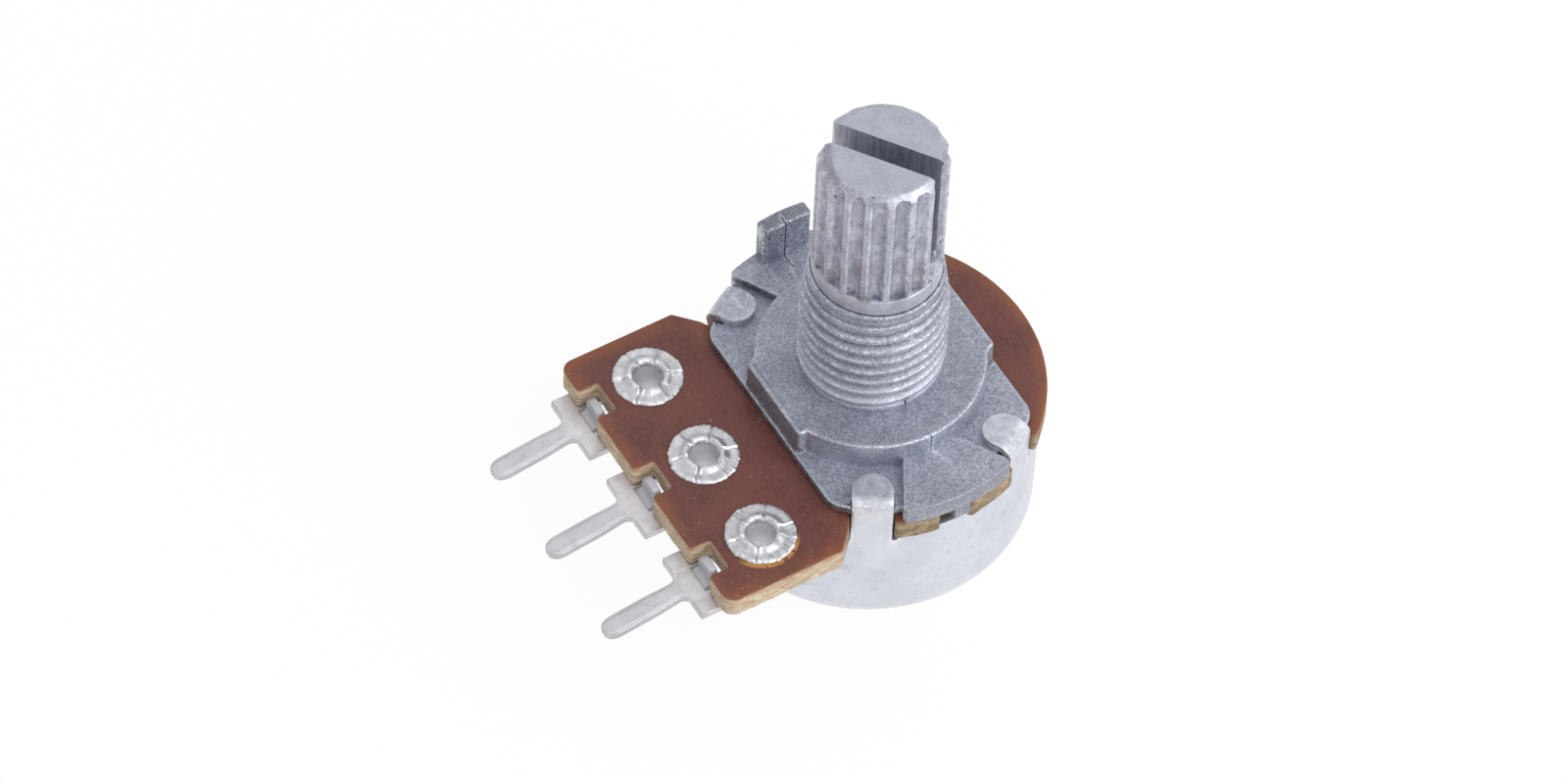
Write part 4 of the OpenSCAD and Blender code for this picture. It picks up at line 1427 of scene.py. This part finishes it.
def cover_columns():
    """Angles of the sheet's columns: the sides of gap, tabs and slits, and even steps between them."""
    sides = set(RIM_GAP)
    sides |= {(tab + sign * half) % 360 for tab in TABS for sign in (-1, 1) for half in (TAB_HALF, SLIT_HALF)}
    ordered = sorted(sides)
    columns = []
    for here, there in zip(ordered, ordered[1:] + [ordered[0] + 360]):
        count = max(1, math.ceil((there - here) / COVER_STEP))
        columns.extend(here + (there - here) * i / count for i in range(count))
    return columns


def from_tab(angle, tab):
    """Degrees from the middle of a tab."""
    return abs((angle - tab + 180) % 360 - 180)


def nearest_tab(angle):
    return min(TABS, key=lambda tab: from_tab(angle, tab))


def sheet_fills(angle, level, over_rim):
    """Whether there is sheet at an angle and a level."""
    off = from_tab(angle, nearest_tab(angle))
    if over_rim:
        return off < TAB_HALF
    if level < GAP_FOOT:
        return True
    if RIM_GAP[0] < angle % 360 < RIM_GAP[1]:
        return False
    return not (level > SLIT_FOOT and TAB_HALF < off < SLIT_HALF)


def cup_point(row, angle, depth):
    """A point of the back or the slightly dented wall, at a depth in the sheet."""
    radius, level, out, up, _ = row
    cos, sin = math.cos(math.radians(angle)), math.sin(math.radians(angle))
    level -= up * depth
    radius += out * (COVER_DENT * ripple(3 * cos, 3 * sin, level * 0.5, 0.8, 6) - depth)
    return (radius * cos, radius * sin, level)


def tab_point(row, angle, depth):
    """A point of a tab, at a depth in the sheet: flattened over the bend and rounded at the tip."""
    radius, level, out, up, flat = row
    tab = nearest_tab(angle)
    turn = math.radians(tab)
    across = COVER_R * math.sin(math.radians(angle) - turn)
    if radius < TAB_TIP_CENTRE:
        across *= math.sqrt(max(1 - ((TAB_TIP_CENTRE - radius) / (TAB_W / 2)) ** 2, 0.0))
    along = radius - out * depth - (COVER_R - math.sqrt(COVER_R**2 - across**2)) * (1 - flat)
    if tab == LOOSE_TAB:
        along += LOOSE_TAB_BULGE * bell(level - PLATE_TOP, LOOSE_TAB_SPREAD)
    x = along * math.cos(turn) - across * math.sin(turn)
    y = along * math.sin(turn) + across * math.cos(turn)
    return (x, y, level - up * depth)


def cover_shape():
    """Drawn cup with slits and four tabs folded over the bushing, as one folded sheet."""
    rows, rim = cover_rows()
    columns = cover_columns()
    count = len(columns)
    shape = Shape()
    index = {}

    def filled(row, column):
        here, there = columns[column], columns[(column + 1) % count]
        middle = here + ((there - here) % 360) / 2
        return sheet_fills(middle, (rows[row][1] + rows[row + 1][1]) / 2, row >= rim)

    def corner(row, column, depth):
        key = (row, column % count, depth)
        if key not in index:
            point = cup_point if row <= rim else tab_point
            index[key] = len(shape.points)
            shape.points.append(point(rows[row], columns[column % count], depth))
        return index[key]

    cells = {(r, c) for r in range(len(rows) - 1) for c in range(count) if filled(r, c)}
    for r, c in cells:
        corners = [(r, c), (r, c + 1), (r + 1, c + 1), (r + 1, c)]
        outside = [corner(*place, 0) for place in corners]
        inside = [corner(*place, SHEET) for place in corners]
        shape.face(outside)
        shape.face(reversed(inside))
        neighbours = [(r - 1, c), (r, (c + 1) % count), (r + 1, c), (r, (c - 1) % count)]
        for i, neighbour in enumerate(neighbours):
            if neighbour not in cells and neighbour[0] >= 0:
                j = (i + 1) % 4
                shape.face((outside[j], outside[i], inside[i], inside[j]))
    return shape


def cover_piece():
    piece = cover_shape().object("cover_drawn", [COVER_TIN])
    limit = {"limit_method": "ANGLE", "angle_limit": COVER_SOFT_TURN}
    modify(piece, "BEVEL", width=COVER_SOFT, segments=2, **limit)
    return settle(piece, "housing", "cover")


def paint_inner_nodes():
    """Finishes for the CAD nodes that are shown as they are."""
    finishes = {
        "carbon_track": CARBON,
        "collector_ring": SILVER,
        "end_pad_left": SILVER,
        "end_pad_right": SILVER,
        "rotor": ROTOR_PLASTIC,
        "wiper": BRONZE,
    }
    for name, material in finishes.items():
        mesh = nodes[name].data
        mesh.materials.clear()
        mesh.materials.append(material)


bushing_piece()
shaft_piece()
board_piece()
for side, place in PLACES.items():
    rivet_piece(side, place)
    terminal_piece(side, place)
cover_piece()
paint_inner_nodes()


# Camera, fitted to the photo in its 1600 x 800 frame

IMAGE_SIZE = (1600, 800)
ORIGIN_PIXEL = (888.57, 360.44)
AZIMUTH = math.radians(55.84)
ELEVATION = math.radians(53.146)
ROLL = math.radians(3.828)
DISTANCE = 376.436
PIXELS_PER_MM = 22.309
SENSOR_W = 36


def add_camera():
    """Camera that sees the origin at ORIGIN_PIXEL, turned a little rather than shifted."""
    right = Vector((math.cos(AZIMUTH), math.sin(AZIMUTH), 0))
    level = math.cos(ELEVATION)
    back = Vector((math.sin(AZIMUTH) * level, -math.cos(AZIMUTH) * level, math.sin(ELEVATION)))
    up = back.cross(right)
    image_right = right * math.cos(ROLL) + up * math.sin(ROLL)
    image_up = up * math.cos(ROLL) - right * math.sin(ROLL)
    focal_pixels = PIXELS_PER_MM * DISTANCE
    off_x = (ORIGIN_PIXEL[0] - IMAGE_SIZE[0] / 2) / focal_pixels
    off_y = (IMAGE_SIZE[1] / 2 - ORIGIN_PIXEL[1]) / focal_pixels
    forward = (-back - image_right * off_x - image_up * off_y).normalized()
    image_right = (image_right - forward * image_right.dot(forward)).normalized()
    image_up = image_right.cross(forward)
    data = bpy.data.cameras.new("camera")
    data.sensor_width = SENSOR_W
    data.lens = SENSOR_W * focal_pixels / IMAGE_SIZE[0]
    data.clip_start = 0.01
    data.clip_end = 10
    camera = bpy.data.objects.new("camera", data)
    turn = Matrix((image_right, image_up, -forward)).transposed().to_4x4()
    camera.matrix_world = Matrix.Translation(back * DISTANCE * MM) @ turn
    bpy.context.scene.collection.objects.link(camera)
    bpy.context.scene.camera = camera


# Stage, in metres

FLOOR_HALF = 0.6
FLOOR_GAP = 0.00002
FLOOR_TONE = (0.93, 0.93, 0.93)
FLOOR_GLOW_SHARE = 0.93
WHITE = (1.0, 1.0, 1.0)
SKY_LEVEL = 0.63
SKY_TO_RIGHT = 0.18
SKY_TO_TOP = 0.30
LAMP_PLACE = Vector((0.34, 0.16, 0.26))
LAMP_SIZE = 0.4
LAMP_POWER = 1.0


def floor_white():
    """White to the camera and in reflections, with a share that keeps the object's shadow."""
    material = bpy.data.materials.new("floor_white")
    material.use_nodes = True
    tree = material.node_tree
    g = Graph(tree)
    shader = tree.nodes["Principled BSDF"]
    lit = g.fill(shader, {"Base Color": FLOOR_TONE, "Roughness": 0.9})
    glow = g.fill(g.add("Emission"), {"Color": WHITE, "Strength": 1.0})
    rays = g.add("LightPath").outputs
    seen = g.most(rays["Is Camera Ray"], rays["Is Glossy Ray"], rays["Is Transmission Ray"])
    mixed = g.fill(g.add("MixShader"), {0: g.times(seen, FLOOR_GLOW_SHARE), 1: lit, 2: glow})
    g.put(tree.nodes["Material Output"].inputs["Surface"], mixed)
    return material


def add_floor():
    level = COVER_BACK * MM - FLOOR_GAP
    mesh = bpy.data.meshes.new("floor")
    corners = [(x * FLOOR_HALF, y * FLOOR_HALF, level) for x, y in ((-1, -1), (1, -1), (1, 1), (-1, 1))]
    mesh.from_pydata(corners, [], [(0, 1, 2, 3)])
    mesh.materials.append(floor_white())
    floor = bpy.data.objects.new("floor", mesh)
    bpy.context.scene.collection.objects.link(floor)


def add_world():
    """Surroundings that are white to the camera and light the object more from above and from the right."""
    world = bpy.data.worlds.new("studio")
    bpy.context.scene.world = world
    world.use_nodes = True
    g = Graph(world.node_tree)
    slope = g.add("VectorMath", operation="DOT_PRODUCT")
    g.put(slope.inputs[0], g.add("TexCoord").outputs["Generated"])
    g.put(slope.inputs[1], (SKY_TO_RIGHT * math.cos(AZIMUTH), SKY_TO_RIGHT * math.sin(AZIMUTH), SKY_TO_TOP))
    level = g.plus(slope.outputs["Value"], SKY_LEVEL)
    seen = g.add("LightPath").outputs["Is Camera Ray"]
    strength = g.fill(g.add("MapRange"), {"Value": seen, "To Min": level, "To Max": 1.0})
    g.fill(world.node_tree.nodes["Background"], {"Color": WHITE, "Strength": strength})


def add_lamp():
    """Soft square lamp on the right that looks at the object."""
    data = bpy.data.lights.new("key_right", "AREA")
    data.shape = "SQUARE"
    data.size = LAMP_SIZE
    data.energy = LAMP_POWER
    lamp = bpy.data.objects.new("key_right", data)
    lamp.location = LAMP_PLACE
    lamp.rotation_mode = "QUATERNION"
    lamp.rotation_quaternion = (-LAMP_PLACE).to_track_quat("-Z", "Y")
    bpy.context.scene.collection.objects.link(lamp)


add_camera()
add_floor()
add_world()
add_lamp()
bpy.context.scene.view_settings.view_transform = "Standard"
